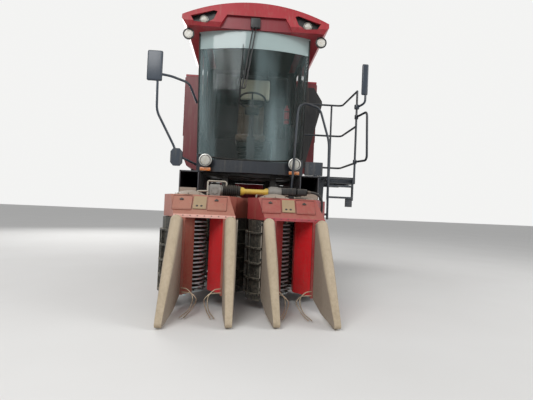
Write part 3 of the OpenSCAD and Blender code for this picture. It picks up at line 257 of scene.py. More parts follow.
def laid_over(shader, mask, colour):
    """Lays a colour over what a shader has, where the mask is 1."""
    feed(shader, Base_Color=mixed(mask, held(shader, "Base Color"), rgba(colour)))


red_paint = paint("red_paint", "8e0f1e", "a02336", "8f7466", fade=0.5, dusty=0.25)
black_paint = paint("black_paint", "17181a", "2b2b2c", "6f675b", dusty=0.5, under="55504b", gloss=0.45)
cream_paint = paint("cream_paint", "cfc5a4", "bfb28e", "857966", dusty=0.4, under="7a5a3c")
# The maroon is painted shade: the red as it looks in shadow, worn by the basket and its ribs
shaded_red_paint = paint("shaded_red_paint", "64121a", "762a30", "84705f")
frame_paint = paint("frame_paint", "202122", "343230", "776d5f", under="5d5853", gloss=0.55)
night_paint = paint("night_paint", "1f242b", "2d333c", "6d675c", dusty=0.3, under="6d6963", gloss=0.3)
dress(red_paint, "engine_cowl", "basket_lid")
# Painted shade: the basket tub wears the red's shaded copy
dress(shaded_red_paint, "basket_tub")
dress(frame_paint, "chassis_frame", "upper_frame", "front_axle", "rear_axle", "front_shields", "fuel_tank",
      "rear_grille", "tip_barrels", "lift_frame", "lift_barrels", "knuckle_left", "knuckle_right",
      "basket_fittings")
dress(night_paint, "front_panel")
dress(black_paint, "cab_frame", "wiper", "mirrors", "duct_left", "duct_right",
      "guard_rails", "console", "steering_column", "lamps", "drive_line")
dress(cream_paint, *four("rim"))

# Roof of the cab: one moulded shell in glossy red, bolted to the pillars. Painted shade darkens the recess
# over the windscreen, whose sides lean in as they rise.
recess_front, recess_back, recess_top = axle_y - 0.517, axle_y - 0.4, 3.57
recess_side, side_lean = 2.331, 0.545
roof_paint = paint("roof_paint", "961722", "ac3540", "8f7466", dusty=0.2, chips=0.2, gloss=0.35)
shader, place = opened(roof_paint)
spot = apart(place)
across = maths("ABSOLUTE", maths("SUBTRACT", spot[0], middle_x))
leaning = maths("MULTIPLY_ADD", spot[2], side_lean, across)
recess_shade = sums("MULTIPLY", ranged(spot[1], recess_front, recess_front + 0.005),
              ranged(spot[1], recess_back, recess_back - 0.01),
              ranged(leaning, recess_side, recess_side - 0.003, 0, 0.6),
              ranged(spot[2], recess_top, recess_top - 0.003))
# Painted shade: the recess over the windscreen is coloured dark maroon
laid_over(shader, recess_shade, "5a1822")
dress(roof_paint, "cab_roof")


# Cabinets of the picking units: folded sheet steel in red, bolted along the lip and the posts. The
# sun has bleached the left one to salmon, and lint and dust lie tan on the domes and between the lids.
def block(form, low, high, round_by=0.0, steps=2, turn=None):
    """A box between two corners with its edges rounded, turned about its middle."""
    low, high = Vector(low), Vector(high)
    made = bmesh.ops.create_cube(form, size=1.0)["verts"]
    bmesh.ops.scale(form, vec=high - low, verts=made)
    if round_by:
        edges = list({e for v in made for e in v.link_edges})
        made = bmesh.ops.bevel(form, geom=edges, offset=round_by, offset_type="OFFSET", segments=steps,
                               profile=0.5, affect="EDGES", material=-1)["verts"]
    if turn is not None:
        bmesh.ops.rotate(form, cent=(0, 0, 0), matrix=turn, verts=made)
    bmesh.ops.translate(form, vec=(low + high) / 2, verts=made)


def pad(form, middle, half, round_by=0.0, steps=2, turn=None):
    """A box about its middle, given by half its size."""
    middle, half = Vector(middle), Vector(half)
    block(form, middle - half, middle + half, round_by, steps, turn)


def lathe(form, profile, middle, axis, steps=32):
    """A turned shape: pairs of (radius, distance along the axis) spun round the axis."""
    axis = Vector(axis).normalized()
    side = axis.orthogonal().normalized()
    middle = Vector(middle)
    made = [form.verts.new(middle + side * r + axis * d) for r, d in profile]
    edges = [form.edges.new((a, b)) for a, b in zip(made, made[1:])]
    bmesh.ops.spin(form, geom=made + edges, cent=middle, axis=axis, angle=tau, steps=steps, use_merge=True)


def bolt(form, place, axis, radius=0.006, high=0.005):
    """A hexagon head that stands off a sheet."""
    axis = Vector(axis).normalized()
    made = bmesh.ops.create_cone(form, cap_ends=True, segments=6, radius1=radius, radius2=radius * 0.86,
                                 depth=high)["verts"]
    turn = Vector((0, 0, 1)).rotation_difference(axis).to_matrix()
    bmesh.ops.rotate(form, cent=(0, 0, 0), matrix=turn, verts=made)
    bmesh.ops.translate(form, vec=Vector(place) + axis * high * 0.5, verts=made)


def ring(count, radius):
    """Points spaced evenly round a circle, as pairs of distances from its middle."""
    turns = [i * tau / count for i in range(count)]
    return [(radius * cos(a), radius * sin(a)) for a in turns]


def piece(name, form):
    """Ends a mesh in making and sets it in the frame as a piece."""
    bmesh.ops.translate(form, vec=at(0, 0, 0), verts=form.verts)
    data = bpy.data.meshes.new(name)
    form.to_mesh(data)
    form.free()
    made = bpy.data.objects.new(name, data)
    scene.collection.objects.link(made)
    return made


def carried(made, material, body):
    """Gives a piece its material, and lets it ride on a body."""
    made.data.materials.clear()
    made.data.materials.append(material)
    made.data.shade_smooth()
    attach(made, body)
    return made


def finish(name, form, material, body="chassis"):
    """Closes a mesh in making and makes it a piece that rides. Edges over 40 degrees stay sharp."""
    bmesh.ops.remove_doubles(form, verts=form.verts, dist=0.00005)
    bmesh.ops.recalc_face_normals(form, faces=form.faces)
    made = carried(piece(name, form), material, body)
    made.data.set_sharp_from_angle(angle=radians(40))
    return made


def cabinet_paint(name, coat, faded, lip_highlight_colour):
    """A cabinet's paint, with lint on its domes and a painted highlight along the lip over the row opening.
    """
    made = paint(name, coat, faded, "9c8068", fade=0.9, dusty=0.5, low_dust=0.3, chips=0.7)
    shader, place = opened(made)
    spot, spots = apart(place), noise(place, 14.0, 5.0)
    on_dome = sums("MULTIPLY", ranged(spot[2], unit_top - 0.0005, unit_top + 0.006),
                   ranged(spots, 0.2, 0.45, 0.75, 1))
    laid_over(shader, on_dome, "9a8c7e")
    face_y = axle_y + unit_front
    # Painted highlight: a pale band along the lip's lower edge over the row opening
    lip_highlight = sums("MULTIPLY", ranged(spot[1], face_y + 0.008, face_y + 0.0015),
                  ranged(spot[2], lip_low - 0.002, lip_low + 0.002),
                  ranged(spot[2], slope_foot + 0.002, slope_foot - 0.003),
                  ranged(spots, 0.25, 0.5, 0.55, 1))
    laid_over(shader, lip_highlight, lip_highlight_colour)
    return made


def on_slope(unit_x, u, along, high):
    """A point on a cabinet's sloped face: across, up along the slope and off it."""
    return Vector((unit_x + u, unit_front + along * cos(slope) - high * sin(slope),
                   slope_foot + along * sin(slope) + high * cos(slope)))


ahead = (0, -1, 0)
units = (("left", -0.45), ("right", 0.45))
unit_front, unit_top = -1.75, 1.15
lip_low, slope_foot = 0.92, 0.96
slope_rise, slope_run = 0.19, 0.17
slope = atan2(slope_rise, slope_run)
slope_turn = Matrix.Rotation(slope, 3, "X")
lid_middles, lid_wide, lid_long = (-0.235, 0.115), 0.19, 0.175
# The last colour of each cabinet paint is the painted highlight along its lip
left_paint = cabinet_paint("cabinet_paint_left", "96463c", "a9715f", "e0ada0")
right_paint = cabinet_paint("cabinet_paint_right", "92141f", "9a4a48", "a84a50")
# The pressure panels' bright red is painted light: a lit copy of the red, for the light that falls on them
# from the front
lit_panel_paint = paint("lit_panel_paint", "d01822", "d8383c", "8a6f62", fade=0.5, dusty=0.2, low_dust=0.25,
                    chips=0.9)
dress(left_paint, "cabinet_left")
dress(right_paint, "cabinet_right")
dress(lit_panel_paint, "pressure_panels")
dust_plate = paint("dust_plate", "a38a68", "b19a7c", "8d7b66", chips=0.2, gloss=0.8)
seam_paint = paint("seam_paint", "542420", "6b3a33", "6a5648", chips=0, gloss=0.8)
latch_paint = paint("latch_paint", "1c1a19", "2b2826", "5e564c", dusty=0.3)
bolt_steel = paint("bolt_steel", "5c5650", "6f6860", "7d7264", gloss=0.4, metal=0.7)
for side, unit_x in units:
    form = bmesh.new()
    pad(form, on_slope(unit_x, -0.06, 0.148, 0.002), (0.066, 0.085, 0.003), 0.002, 1, slope_turn)
    finish("dust_plate_" + side, form, dust_plate, "head")
    # Two studs on the plate, and a finger latch with its tongue on each lid
    form = bmesh.new()
    for u in (-0.085, -0.04):
        lathe(form, [(0, 0.004), (0.007, 0.004), (0.012, 0.002), (0.012, 0), (0, 0)],
              on_slope(unit_x, u, 0.1, 0.005), (0, -sin(slope), cos(slope)), 12)
    for u in lid_middles:
        for along, half in ((0.175, (0.02, 0.009, 0.004)), (0.188, (0.008, 0.006, 0.004))):
            pad(form, on_slope(unit_x, u - 0.01, along, 0.0125), half, 0.003, 2, slope_turn)
    finish("lid_latches_" + side, form, latch_paint, "head")
    # Seams round the lids: place from the lid's middle, and length across and along
    form = bmesh.new()
    for u in lid_middles:
        for du, dv, wide, deep in ((0, 0.0885, lid_wide, 0), (0, -0.0885, lid_wide, 0),
                                   (0.096, 0, 0, lid_long), (-0.096, 0, 0, lid_long)):
            half = (wide / 2 + 0.0015, deep / 2 + 0.0015, 0.003)
            pad(form, on_slope(unit_x, u + du, 0.1475 + dv, 0.0), half, turn=slope_turn)
    finish("lid_seams_" + side, form, seam_paint, "head")
    # Bolts along the lip, round the domes and up the posts
    form = bmesh.new()
    for i in range(9):
        bolt(form, (unit_x - 0.28 + i * 0.07, unit_front, 0.94), ahead)
    for u, v in ((-0.19, 0.33), (0.19, 0.74)):
        for across, along in ring(8, 0.155):
            place = (unit_x + u + across, unit_front + v + along, unit_top + 0.009)
            bolt(form, place, (0, 0, 1), 0.008, 0.007)
    for i in range(6):
        for u in (-0.295, 0.295):
            bolt(form, (unit_x + u, unit_front, 0.24 + i * 0.12), ahead)
    finish("unit_bolts_" + side, form, bolt_steel, "head")


# Worn steel: grid bars, drums, screens and rods, scratched bright by the crop and brown with dust between.
# The grid bars' near-white base, low in metal, is a painted reflection of chrome; painted shade darkens the
# rear grids, deep in the rows, and the right unit's bars are darker.
def steel(name, bright, dull, gloss, rust, metal=0.9):
    """Bare steel with fine scratches across it and rust in patches."""
    made, shader, place = new_material(name)
    broad = noise(place, 9.0, 6.0, 0.6)
    lines = noise(stretched(place, (30, 30, 400)), 1.0, 3.0)
    colour = mixed(ranged(broad, 0.4, 0.68), rgba(bright), rgba(dull))
    colour = mixed(ranged(broad, 0.56, 0.74, 0, rust), colour, rgba("5c3d28"))
    rough = sums("ADD", ranged(broad, 0.3, 0.7, gloss, gloss + 0.3), ranged(lines, 0.3, 0.7, -0.05, 0.08))
    feed(shader, Base_Color=colour, Roughness=rough, Metallic=metal, Normal=relief(lines, 0.15, 0.0008))
    return made


# Grid bars: a near-white base with little metal, as a painted reflection of chrome
bar_reflection_steel = steel("bar_reflection_steel", "d4ecf0", "bdd4d7", 0.25, 0.06, metal=0.3)
shader, place = opened(bar_reflection_steel)
spot = apart(place)
# Painted shade on the rear grids, deep in the rows, and a darker brown on the right unit's bars
rear_shade_right_darker = sums("MAXIMUM", ranged(spot[1], axle_y - 1.28, axle_y - 1.2, 0, 0.85),
                 ranged(spot[0], middle_x, middle_x + 0.02, 0, 0.45))
laid_over(shader, rear_shade_right_darker, "4f4439")
dress(bar_reflection_steel, "grid_bars")
dress(steel("rod_chrome", "e8e6e2", "c9c5be", 0.12, 0.02), "tip_rods", "lift_rods")
dress(steel("drum_steel", "4a443d", "2c2722", 0.45, 0.6), *four("drum"))
dress(steel("worn_steel", "8f8a83", "5f5952", 0.4, 0.5), "basket_screens", "exhaust", "engine")


# Wire fingers: spring steel, bright from the crop, that hang from the posts' feet and bow out to the
# ground in front of each row.
def rounded(points, bend):
    """The points of a bent tube's middle line, with a short curve in place of each corner."""
    points = [Vector(p) for p in points]
    out = [points[0]]
    for a, p, b in zip(points, points[1:], points[2:]):
        cut = min(bend, (a - p).length * 0.48, (b - p).length * 0.48)
        start, end = p + (a - p).normalized() * cut, p + (b - p).normalized() * cut
        for i in range(7):
            t = i / 6
            out.append(start * (1 - t) ** 2 + p * 2 * t * (1 - t) + end * t ** 2)
    return out + [points[-1]]


def meshed(source):
    """The mesh that a curve or a piece with modifiers comes out as."""
    bpy.context.view_layer.update()
    return bpy.data.meshes.new_from_object(source.evaluated_get(bpy.context.evaluated_depsgraph_get()))


def tubes(name, runs, radius, material, body="chassis", bend=0.06, sides=3):
    """Bent round tubes of one thickness, each along its own row of points."""
    line = bpy.data.curves.new(name, "CURVE")
    line.dimensions, line.bevel_depth, line.bevel_resolution, line.use_fill_caps = "3D", radius, sides, True
    for run in runs:
        points = rounded(run, bend)
        spline = line.splines.new("POLY")
        spline.points.add(len(points) - 1)
        for point, place in zip(spline.points, points):
            point.co = (*at(*place), 1)
    drawn = bpy.data.objects.new(name + "_line", line)
    scene.collection.objects.link(drawn)
    data = meshed(drawn)
    bpy.data.objects.remove(drawn)
    data.name = name
    made = bpy.data.objects.new(name, data)
    scene.collection.objects.link(made)
    return carried(made, material, body)


wire_steel = steel("wire_steel", "cdbfa6", "9c8d77", 0.4, 0.1)
runs = []
for _, unit_x in units:
    for s in (-1, 1):
        for k in (0, 1):
            high = 0.23 - 0.04 * k
            # Distance from the row's middle, distance from the front axle and height
            runs.append([(unit_x + s * x, y, z) for x, y, z in (
                (0.195, -1.753, high), (0.135 - 0.05 * k, -1.765, high - 0.005),
                (0.075 - 0.04 * k, -1.785, high - 0.06), (0.07 - 0.03 * k, -1.83, 0.11),
                (0.095 - 0.02 * k, -1.93, 0.05), (0.155 - 0.035 * k, -2.05, 0.022),
            )])
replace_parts(tubes("row_wires_bent", runs, 0.005, wire_steel, "head", 0.09, 2), "row_wires")

# Stalk lifters: moulded shells in a dusty beige that reach low ahead of the posts. They are greyer on their
# flanks, where the faces turn sideways, and scuffed tan at the tips.
shoe_skin = paint("shoe_skin", "ad9d84", "bcab92", "85755f", fade=0.9, dusty=0.15, low_dust=0.35, chips=0.25,
                  under="7d7161", gloss=0.6)
shader, place = opened(shoe_skin)
sideways = maths("ABSOLUTE", apart(add(place.id_data, "NewGeometry", 3))[0])
laid_over(shader, ranged(sideways, 0.72, 0.95, 0, 0.75), "857a70")
dress(shoe_skin, "stalk_lifters")

# Suction doors and rear shells: black steel half shells with folded ribs, their edges rubbed pale, and
# the long latch rods of the doors in their guides.
door_paint = paint("door_paint", "1b1d1c", "2a2b29", "8b8474", fade=0.5, dusty=0.9, low_dust=0.5, chips=1.0,
                   under="9b968a", gloss=0.45)
rod_paint = paint("rod_paint", "b5ada0", "a29a8c", "857a69", gloss=0.5, metal=0.3)
dress(door_paint, "suction_door_left", "suction_door_right", "rear_shells")
shell_x, shell_y, shell_radius, shell_middle_z = -0.19, -1.42, 0.284, 0.47
latch_x, latch_y, side_x, side_y = -0.322, -1.652, 0.325, unit_front + 0.015
for side, unit_x in units:
    door = "suction_door_" + side
    tubes("latch_rod_" + side, [[(unit_x + latch_x, latch_y, z) for z in (0.15, 0.9)]], 0.0075, rod_paint,
          door)
    side_rods = [[(unit_x + side_x, side_y, z) for z in (0.2, 0.915)]]
    side_rods += [[(unit_x + 0.3, side_y, z), (unit_x + 0.33, side_y, z)] for z in (0.3, 0.85)]
    tubes("side_rod_" + side, side_rods, 0.007, rod_paint, "head")
    form = bmesh.new()
    for z in (0.2, 0.5, 0.86):
        block(form, (unit_x - 0.334, -1.668, z), (unit_x - 0.308, -1.634, z + 0.03), 0.004)
    finish("latch_guides_" + side, form, door_paint, door)
    # Upright straps that tie the door's ribs, as the folded edges of its panels
    form = bmesh.new()
    for angle in [radians(a) for a in (133, 160, 186, 211)]:
        x, y = shell_x + shell_radius * cos(angle), shell_y + shell_radius * sin(angle)
        pad(form, (unit_x + x, y, shell_middle_z), (0.013, 0.004, 0.32), 0.002, 1,
            Matrix.Rotation(angle, 3, "Z"))
    finish("door_straps_" + side, form, door_paint, door)

# Drive line across the units: a cast gearbox with oil-stained flanges, a ribbed rubber bellows, the
# yellow guard tube of the shaft, and the second gearbox with its black motor on the right.
cast = paint("cast_paint", "8d8a84", "6c6862", "4b463f", fade=1.0, dusty=0.3, chips=0.6, under="3a3632",
             gloss=0.5)
rubber_black = paint("bellows_rubber", "1d1b19", "2c2926", "6b6255", fade=0.5, dusty=0.7, chips=0, gloss=0.7)
yellow = paint("guard_yellow", "c9a22c", "d8bd68", "8f7f56", dusty=0.4, chips=0.3)
line_y, line_z, seat_z = -1.19, 1.222, unit_top + 0.0005
flange_x, flange_z = -0.393, 1.215
form = bmesh.new()
block(form, (-0.45, line_y - 0.07, seat_z), (-0.335, line_y + 0.07, 1.285), 0.012, 3)
block(form, (-0.47, line_y - 0.045, 1.17), (-0.45, line_y + 0.045, 1.27), 0.006)
lathe(form, [(0, 0), (0.062, 0), (0.062, 0.012), (0.05, 0.018), (0.05, 0.03), (0, 0.03)],
      (-0.336, line_y, line_z), (1, 0, 0))
lathe(form, [(0, 0), (0.04, 0), (0.04, 0.008), (0, 0.008)], (flange_x, line_y - 0.07, flange_z), ahead, 20)
for x, z in ring(6, 0.032):
    bolt(form, (flange_x + x, line_y - 0.078, flange_z + z), ahead)
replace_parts(finish("gearbox_left", form, cast, "head"), "drive_line")
fold, fold_count = 0.021, 9
profile = [(0, 0), (0.058, 0)]
for i in range(fold_count):
    profile += [(0.066, 0.004 + i * fold), (0.066, 0.009 + i * fold), (0.052, 0.014 + i * fold),
                (0.052, 0.019 + i * fold)]
form = bmesh.new()
lathe(form, profile + [(0.058, 0.198), (0, 0.198)], (-0.308, line_y, line_z), (1, 0, 0), 40)
finish("bellows", form, rubber_black, "head")
form = bmesh.new()
lathe(form, [(0, 0), (0.046, 0), (0.046, 0.03), (0.031, 0.05), (0.029, 0.06), (0.029, 0.255), (0.031, 0.265),
             (0.044, 0.285), (0.044, 0.315), (0, 0.315)], (-0.11, line_y, line_z), (1, 0, 0), 40)
finish("shaft_guard", form, yellow, "head")
form = bmesh.new()
lathe(form, [(0, 0), (0.05, 0), (0.062, 0.012), (0.068, 0.03), (0.068, 0.1), (0.06, 0.12), (0.06, 0.148),
             (0, 0.148)], (0.206, line_y, line_z), (1, 0, 0))
for y, z in ring(8, 0.056):
    bolt(form, (0.206, line_y + y, line_z + z), (-1, 0, 0))
finish("gearbox_middle", form, cast, "head")
form = bmesh.new()
block(form, (0.356, line_y - 0.058, seat_z + 0.05), (0.52, line_y + 0.058, 1.279), 0.01, 3)
block(form, (0.53, line_y - 0.052, seat_z + 0.05), (0.648, line_y + 0.055, 1.275), 0.014, 3)
block(form, (0.44, line_y - 0.03, seat_z), (0.5, line_y + 0.03, 1.21), 0.004)
finish("drive_motor", form, black_paint, "head")

# Pipes of the units: pale rigid steel lines of 20 mm that run over the cabinets' tops behind the
# drive line, one of them arched.
tubes("unit_pipes", [
    [(-0.62, -1.02, 1.158), (-0.62, -1.02, 1.21), (-0.5, -1.02, 1.215), (-0.28, -1.02, 1.215),
     (-0.27, -0.9, 1.165)],
    [(0.08, -1.0, 1.158), (0.08, -1.0, 1.2), (0.45, -1.0, 1.205), (0.6, -0.95, 1.165)],
    [(-0.5, -0.95, 1.16), (-0.5, -0.93, 1.33), (-0.49, -0.93, 1.34), (-0.28, -0.93, 1.34),
     (-0.27, -0.93, 1.16)],
], 0.01, rod_paint, "head", 0.03)

# Hose of the drive's motor: stiff rubber over wire, screwed into the motor and into the right unit's
# side, both of which lift together. It leaves the motor level, turns down and curls in to the side.
hose_rubber = paint("hose_rubber", "1b1c1e", "2a2b2d", "6b6458", fade=0.5, dusty=0.6, chips=0, gloss=0.65)
hose_y, hose_radius = -1.235, 0.014
hose_start, start_z = 0.648, 1.239
turn_radius, turn_x = 0.12, 0.7
curl_radius, curl_x, curl_z = 0.115, 0.8195, 1.05
turns = [radians(a) for a in range(0, 91, 9)]
curls = [radians(a) for a in range(0, 43, 7)]
hose_line = [
    (hose_start, hose_y, start_z), (0.675, hose_y, start_z),
    *[(turn_x + turn_radius * sin(a), hose_y, start_z - turn_radius * (1 - cos(a))) for a in turns],
    (0.82, hose_y, 1.085),
    *[(curl_x - curl_radius * (1 - cos(a)), hose_y, curl_z - curl_radius * sin(a)) for a in curls],
]
hose = tubes("motor_hose", [hose_line], hose_radius, hose_rubber, "head", 0.004, sides=4)
form = bmesh.new()
lathe(form, [(0.0145, 0), (0.021, 0), (0.021, 0.022), (0.018, 0.026), (0.018, 0.036), (0.0145, 0.038),
             (0.0145, 0)], (hose_start + 0.0005, hose_y, start_z), (1, 0, 0), 6)
finish("hose_nut", form, bolt_steel, "head")

# Flanges round the mouths of the duct hoods: folded strip of painted sheet, bolted through along
# the top and down both sides.
flange_paint = paint("duct_flange", "34353a", "484a50", "80776a", dusty=0.5, chips=0.8, gloss=0.5)
hood_face, mouth_in, mouth_out, mouth_low, mouth_high = -0.68, 0.638, 0.882, 1.19, 1.478
form = bmesh.new()
for s in (-1, 1):
    for low, high in (((mouth_in, 1.462), (mouth_out, mouth_high)),
                      ((mouth_in, mouth_low), (0.652, mouth_high)),
                      ((0.868, mouth_low), (mouth_out, mouth_high))):
        x0, x1 = sorted((s * low[0], s * high[0]))
        block(form, (x0, hood_face, low[1]), (x1, hood_face + 0.0045, high[1]), 0.0015, 1)
    for x, z in ((0.66, 1.47), (0.73, 1.47), (0.79, 1.47), (0.86, 1.47),
                 (0.645, 1.4), (0.645, 1.31), (0.875, 1.4), (0.875, 1.31)):
        bolt(form, (s * x, hood_face, z), ahead)
finish("hood_flanges", form, flange_paint)


# Tyres: dull black rubber, grey with dust on the lugs' faces, on pressed rims with a ring of nuts and
# a hub cap.
def rubber():
    """Rubber, grey where dust holds in it."""
    made, shader, place = new_material("tyre_rubber")
    fine = noise(place, 30.0, 8.0, 0.7)
    grit = noise(place, 260.0, 2.0)
    colour = mixed(ranged(fine, 0.4, 0.72, 0.05, 0.8), rgba("1a1918"), rgba("5e564b"))
    feed(shader, Base_Color=colour, Roughness=0.88, Normal=relief(grit, 0.4, 0.002))
    return made


dress(rubber(), *four("tyre"))
# Axle, its place, its height, and the radius of its hub caps and of their rings of nuts
for end, y, z, cap, nuts in (("front", 0.0, 0.575, 0.085, 0.14), ("rear", 2.6, 0.43, 0.06, 0.105)):
    for side, s in (("left", -1), ("right", 1)):
        low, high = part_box("rim_%s_%s" % (end, side))
        inner = (high.x if s > 0 else low.x) - middle_x - s * 0.035
        form = bmesh.new()
        lathe(form, [(0, 0.026), (cap * 0.5, 0.025), (cap * 0.9, 0.018), (cap, 0.006), (cap, -0.03),
                     (0, -0.03)], (inner, y, z), (s, 0, 0), 28)
        for back, up in ring(8, nuts):
            bolt(form, (inner - s * 0.004, y + back, z + up), (s, 0, 0), 0.014, 0.02)
        finish("hub_%s_%s" % (end, side), form, bolt_steel, "wheel_%s_%s" % (end, side))


# Windscreen and side panes: thin tinted glass in a black gasket, with a film of dust. A pale strip of sun
# film, without any lettering, runs along the windscreen's top. The rear pane carries painted shade: dark and
# nearly opaque.
def glazing():
    """Tinted glass under a film of dust, with the rear pane painted dark and nearly opaque as painted shade.
    """
    made, shader, place = new_material("cab_glazing")
    film = noise(stretched(place, (3.2, 3.2, 0.55)), 1.0, 2.5)
    spot = apart(place)
    strip = sums("MULTIPLY", ranged(spot[2], strip_low, strip_low + 0.003),
                 ranged(spot[1], axle_y + 0.1, axle_y + 0.05))
    # Painted shade: the rear pane is coloured dark and made nearly opaque
    back = ranged(spot[1], axle_y + 1.08, axle_y + 1.1)
    pane = mixed(ranged(film, 0.4, 0.7), rgba("36423f"), rgba("8ea5a8"))
    pane = mixed(back, pane, rgba("1a201f"))
    solid = sums("MAXIMUM", ranged(film, 0.4, 0.72, 0.13, 0.38), ranged(back, 0, 1, 0, 0.86),
                 ranged(strip, 0, 1, 0, 0.97))
    feed(shader, Base_Color=mixed(strip, pane, rgba("9cadac")), Roughness=0.05, IOR=1.45, Alpha=solid)
    return made


def cab_half(z):
    """Half the cab's width at a height: it grows evenly from the floor to the roof."""
    return floor_half_wide + half_gain * (z - cab_foot) / cab_high


def screen_y(x, off=0.0):
    """The windscreen's outer face at a place across the cab, an arc."""
    return arc_middle_y - sqrt(arc_radius ** 2 - x * x) - off


floor_half_wide, half_gain, cab_foot, cab_high = 0.72, 0.045, 1.5, 1.89
arc_middle_y, arc_radius = 1.5679, 2.0
strip_low = 3.16
dress(glazing(), "cab_glass")
gasket = paint("gasket_rubber", "121313", "1e1e1d", "5c564c", fade=0.4, dusty=0.4, chips=0, gloss=0.75)
left_edge = [(0.012 - cab_half(z), screen_y(cab_half(z) - 0.012, 0.004), z) for z in (1.74, 2.3, 2.9, 3.375)]
right_edge = [(-x, y, z) for x, y, z in left_edge]
foot_half = 0.7
steps_across = [-foot_half + 0.1 * i for i in range(15)]
foot = [(x, screen_y(x, 0.004), 1.668 + 0.06 * (abs(x) / foot_half) ** 2.5) for x in steps_across]
tubes("screen_gasket", [left_edge, right_edge, foot], 0.008, gasket, bend=0.02, sides=2)

# Cab door: a folded steel frame in black with its pane clamped in it, hung on two pins at its rear
# edge. Its paint turns to tinted glass inside the frame.
pane_front, pane_back = axle_y - 0.1495, axle_y + 0.4195
pane_low, pane_high, pane_fade = 2.0005, 3.2395, 0.001
door_coat = paint("cab_door_paint", "17181a", "2b2b2c", "6f675b", dusty=0.5, under="55504b", gloss=0.45)
shader, place = opened(door_coat)
spot = apart(place)
pane = sums("MULTIPLY", ranged(spot[1], pane_front, pane_front + pane_fade),
            ranged(spot[1], pane_back, pane_back - pane_fade),
            ranged(spot[2], pane_low, pane_low + pane_fade),
            ranged(spot[2], pane_high, pane_high - pane_fade))
laid_over(shader, pane, "4a5a57")
feed(shader, Alpha=ranged(pane, 0, 1, 1.0, 0.24),
     Roughness=sums("SUBTRACT", held(shader, "Roughness"), ranged(pane, 0, 1, 0, 0.5)))
dress(door_coat, "cab_door")

# Inside the cab: dark trim on the floor and the headliner, a pale box that hangs from the headliner
# on two straps, a red extinguisher in its bracket, and the dials' hood on the steering column.
trim_dark = paint("cab_trim", "232522", "2c2e2b", "59564c", fade=0.5, dusty=0.4, chips=0, gloss=0.8)
box_pale = paint("box_pale", "f0f2d8", "e2e4c8", "8e8c78", fade=0.4, dusty=0.3, chips=0.1, gloss=0.5)
red_bottle = paint("bottle_red", "b3121c", "bf3038", "7d5b50", fade=0.3, dusty=0.2, chips=0.2, gloss=0.3)
cab_floor, headliner = 1.5505, 3.388
bottle_x, bottle_y = 0.565, 0.6
form = bmesh.new()
block(form, (-0.6, -0.02, cab_floor), (0.6, 1.1, cab_floor + 0.0065), 0.002, 1)
block(form, (-0.62, -0.02, headliner - 0.012), (0.62, 1.08, headliner), 0.004, 1)
finish("cab_lining", form, trim_dark)
form = bmesh.new()
block(form, (-0.185, 0.96, 2.87), (0.3, 1.1, 3.2), 0.03, 3)
finish("rear_box", form, box_pale)
form = bmesh.new()
for x in (-0.14, 0.26):
    block(form, (x - 0.015, 1.02, 3.15), (x + 0.015, 1.05, headliner - 0.004), 0.003, 1)
finish("rear_box_straps", form, trim_dark)
form = bmesh.new()
lathe(form, [(0, 0), (0.036, 0), (0.042, 0.008), (0.042, 0.22), (0.034, 0.25), (0.014, 0.262),
             (0.014, 0.285), (0, 0.285)], (bottle_x, bottle_y, 2.4), (0, 0, 1), 28)
block(form, (0.549, 0.575, 2.672), (0.581, 0.625, 2.69), 0.005)
finish("bottle", form, red_bottle)
form = bmesh.new()
for z in (2.45, 2.58):
    lathe(form, [(0.0425, 0), (0.0455, 0), (0.0455, 0.016), (0.0425, 0.016), (0.0425, 0)],
          (bottle_x, bottle_y, z), (0, 0, 1), 28)
block(form, (0.603, 0.585, 2.36), (0.616, 0.615, 2.66), 0.003, 1)
block(form, (0.612, 0.59, 2.4), (cab_half(2.45) - 0.055, 0.61, 2.43), 0.003, 1)
finish("bottle_bracket", form, trim_dark)
form = bmesh.new()
block(form, (-0.105, 0.085, 2.4), (0.105, 0.155, 2.52), 0.025, 3, Matrix.Rotation(radians(-18), 3, "X"))
finish("dial_hood", form, trim_dark)


# Driver's seat: a sprung box with a bellows, and a cushion and back in worn woven cloth over foam,
# sewn down in channels.
def woven(name, thread, worn):
    """Coarse cloth of two crossed threads, worn paler in patches."""
    made, shader, place = new_material(name)
    broad = noise(place, 6.0, 4.0)
    threads = dict(Vector=place, Scale=190.0, Distortion=0.6)
    warp = add(place.id_data, "TexWave", Detail=1.0, **threads)
    weft = add(place.id_data, "TexWave", 0, {"bands_direction": "Z"}, **threads)
    weave = sums("MULTIPLY", warp, weft)
    colour = mixed(ranged(broad, 0.35, 0.7), rgba(thread), rgba(worn))
    colour = mixed(ranged(weave, 0.0, 1.0, 0.35, 0.0), colour, rgba("171615"))
    feed(shader, Base_Color=colour, Roughness=0.95, Sheen_Weight=0.3, Normal=relief(weave, 0.3, 0.001))
    return made


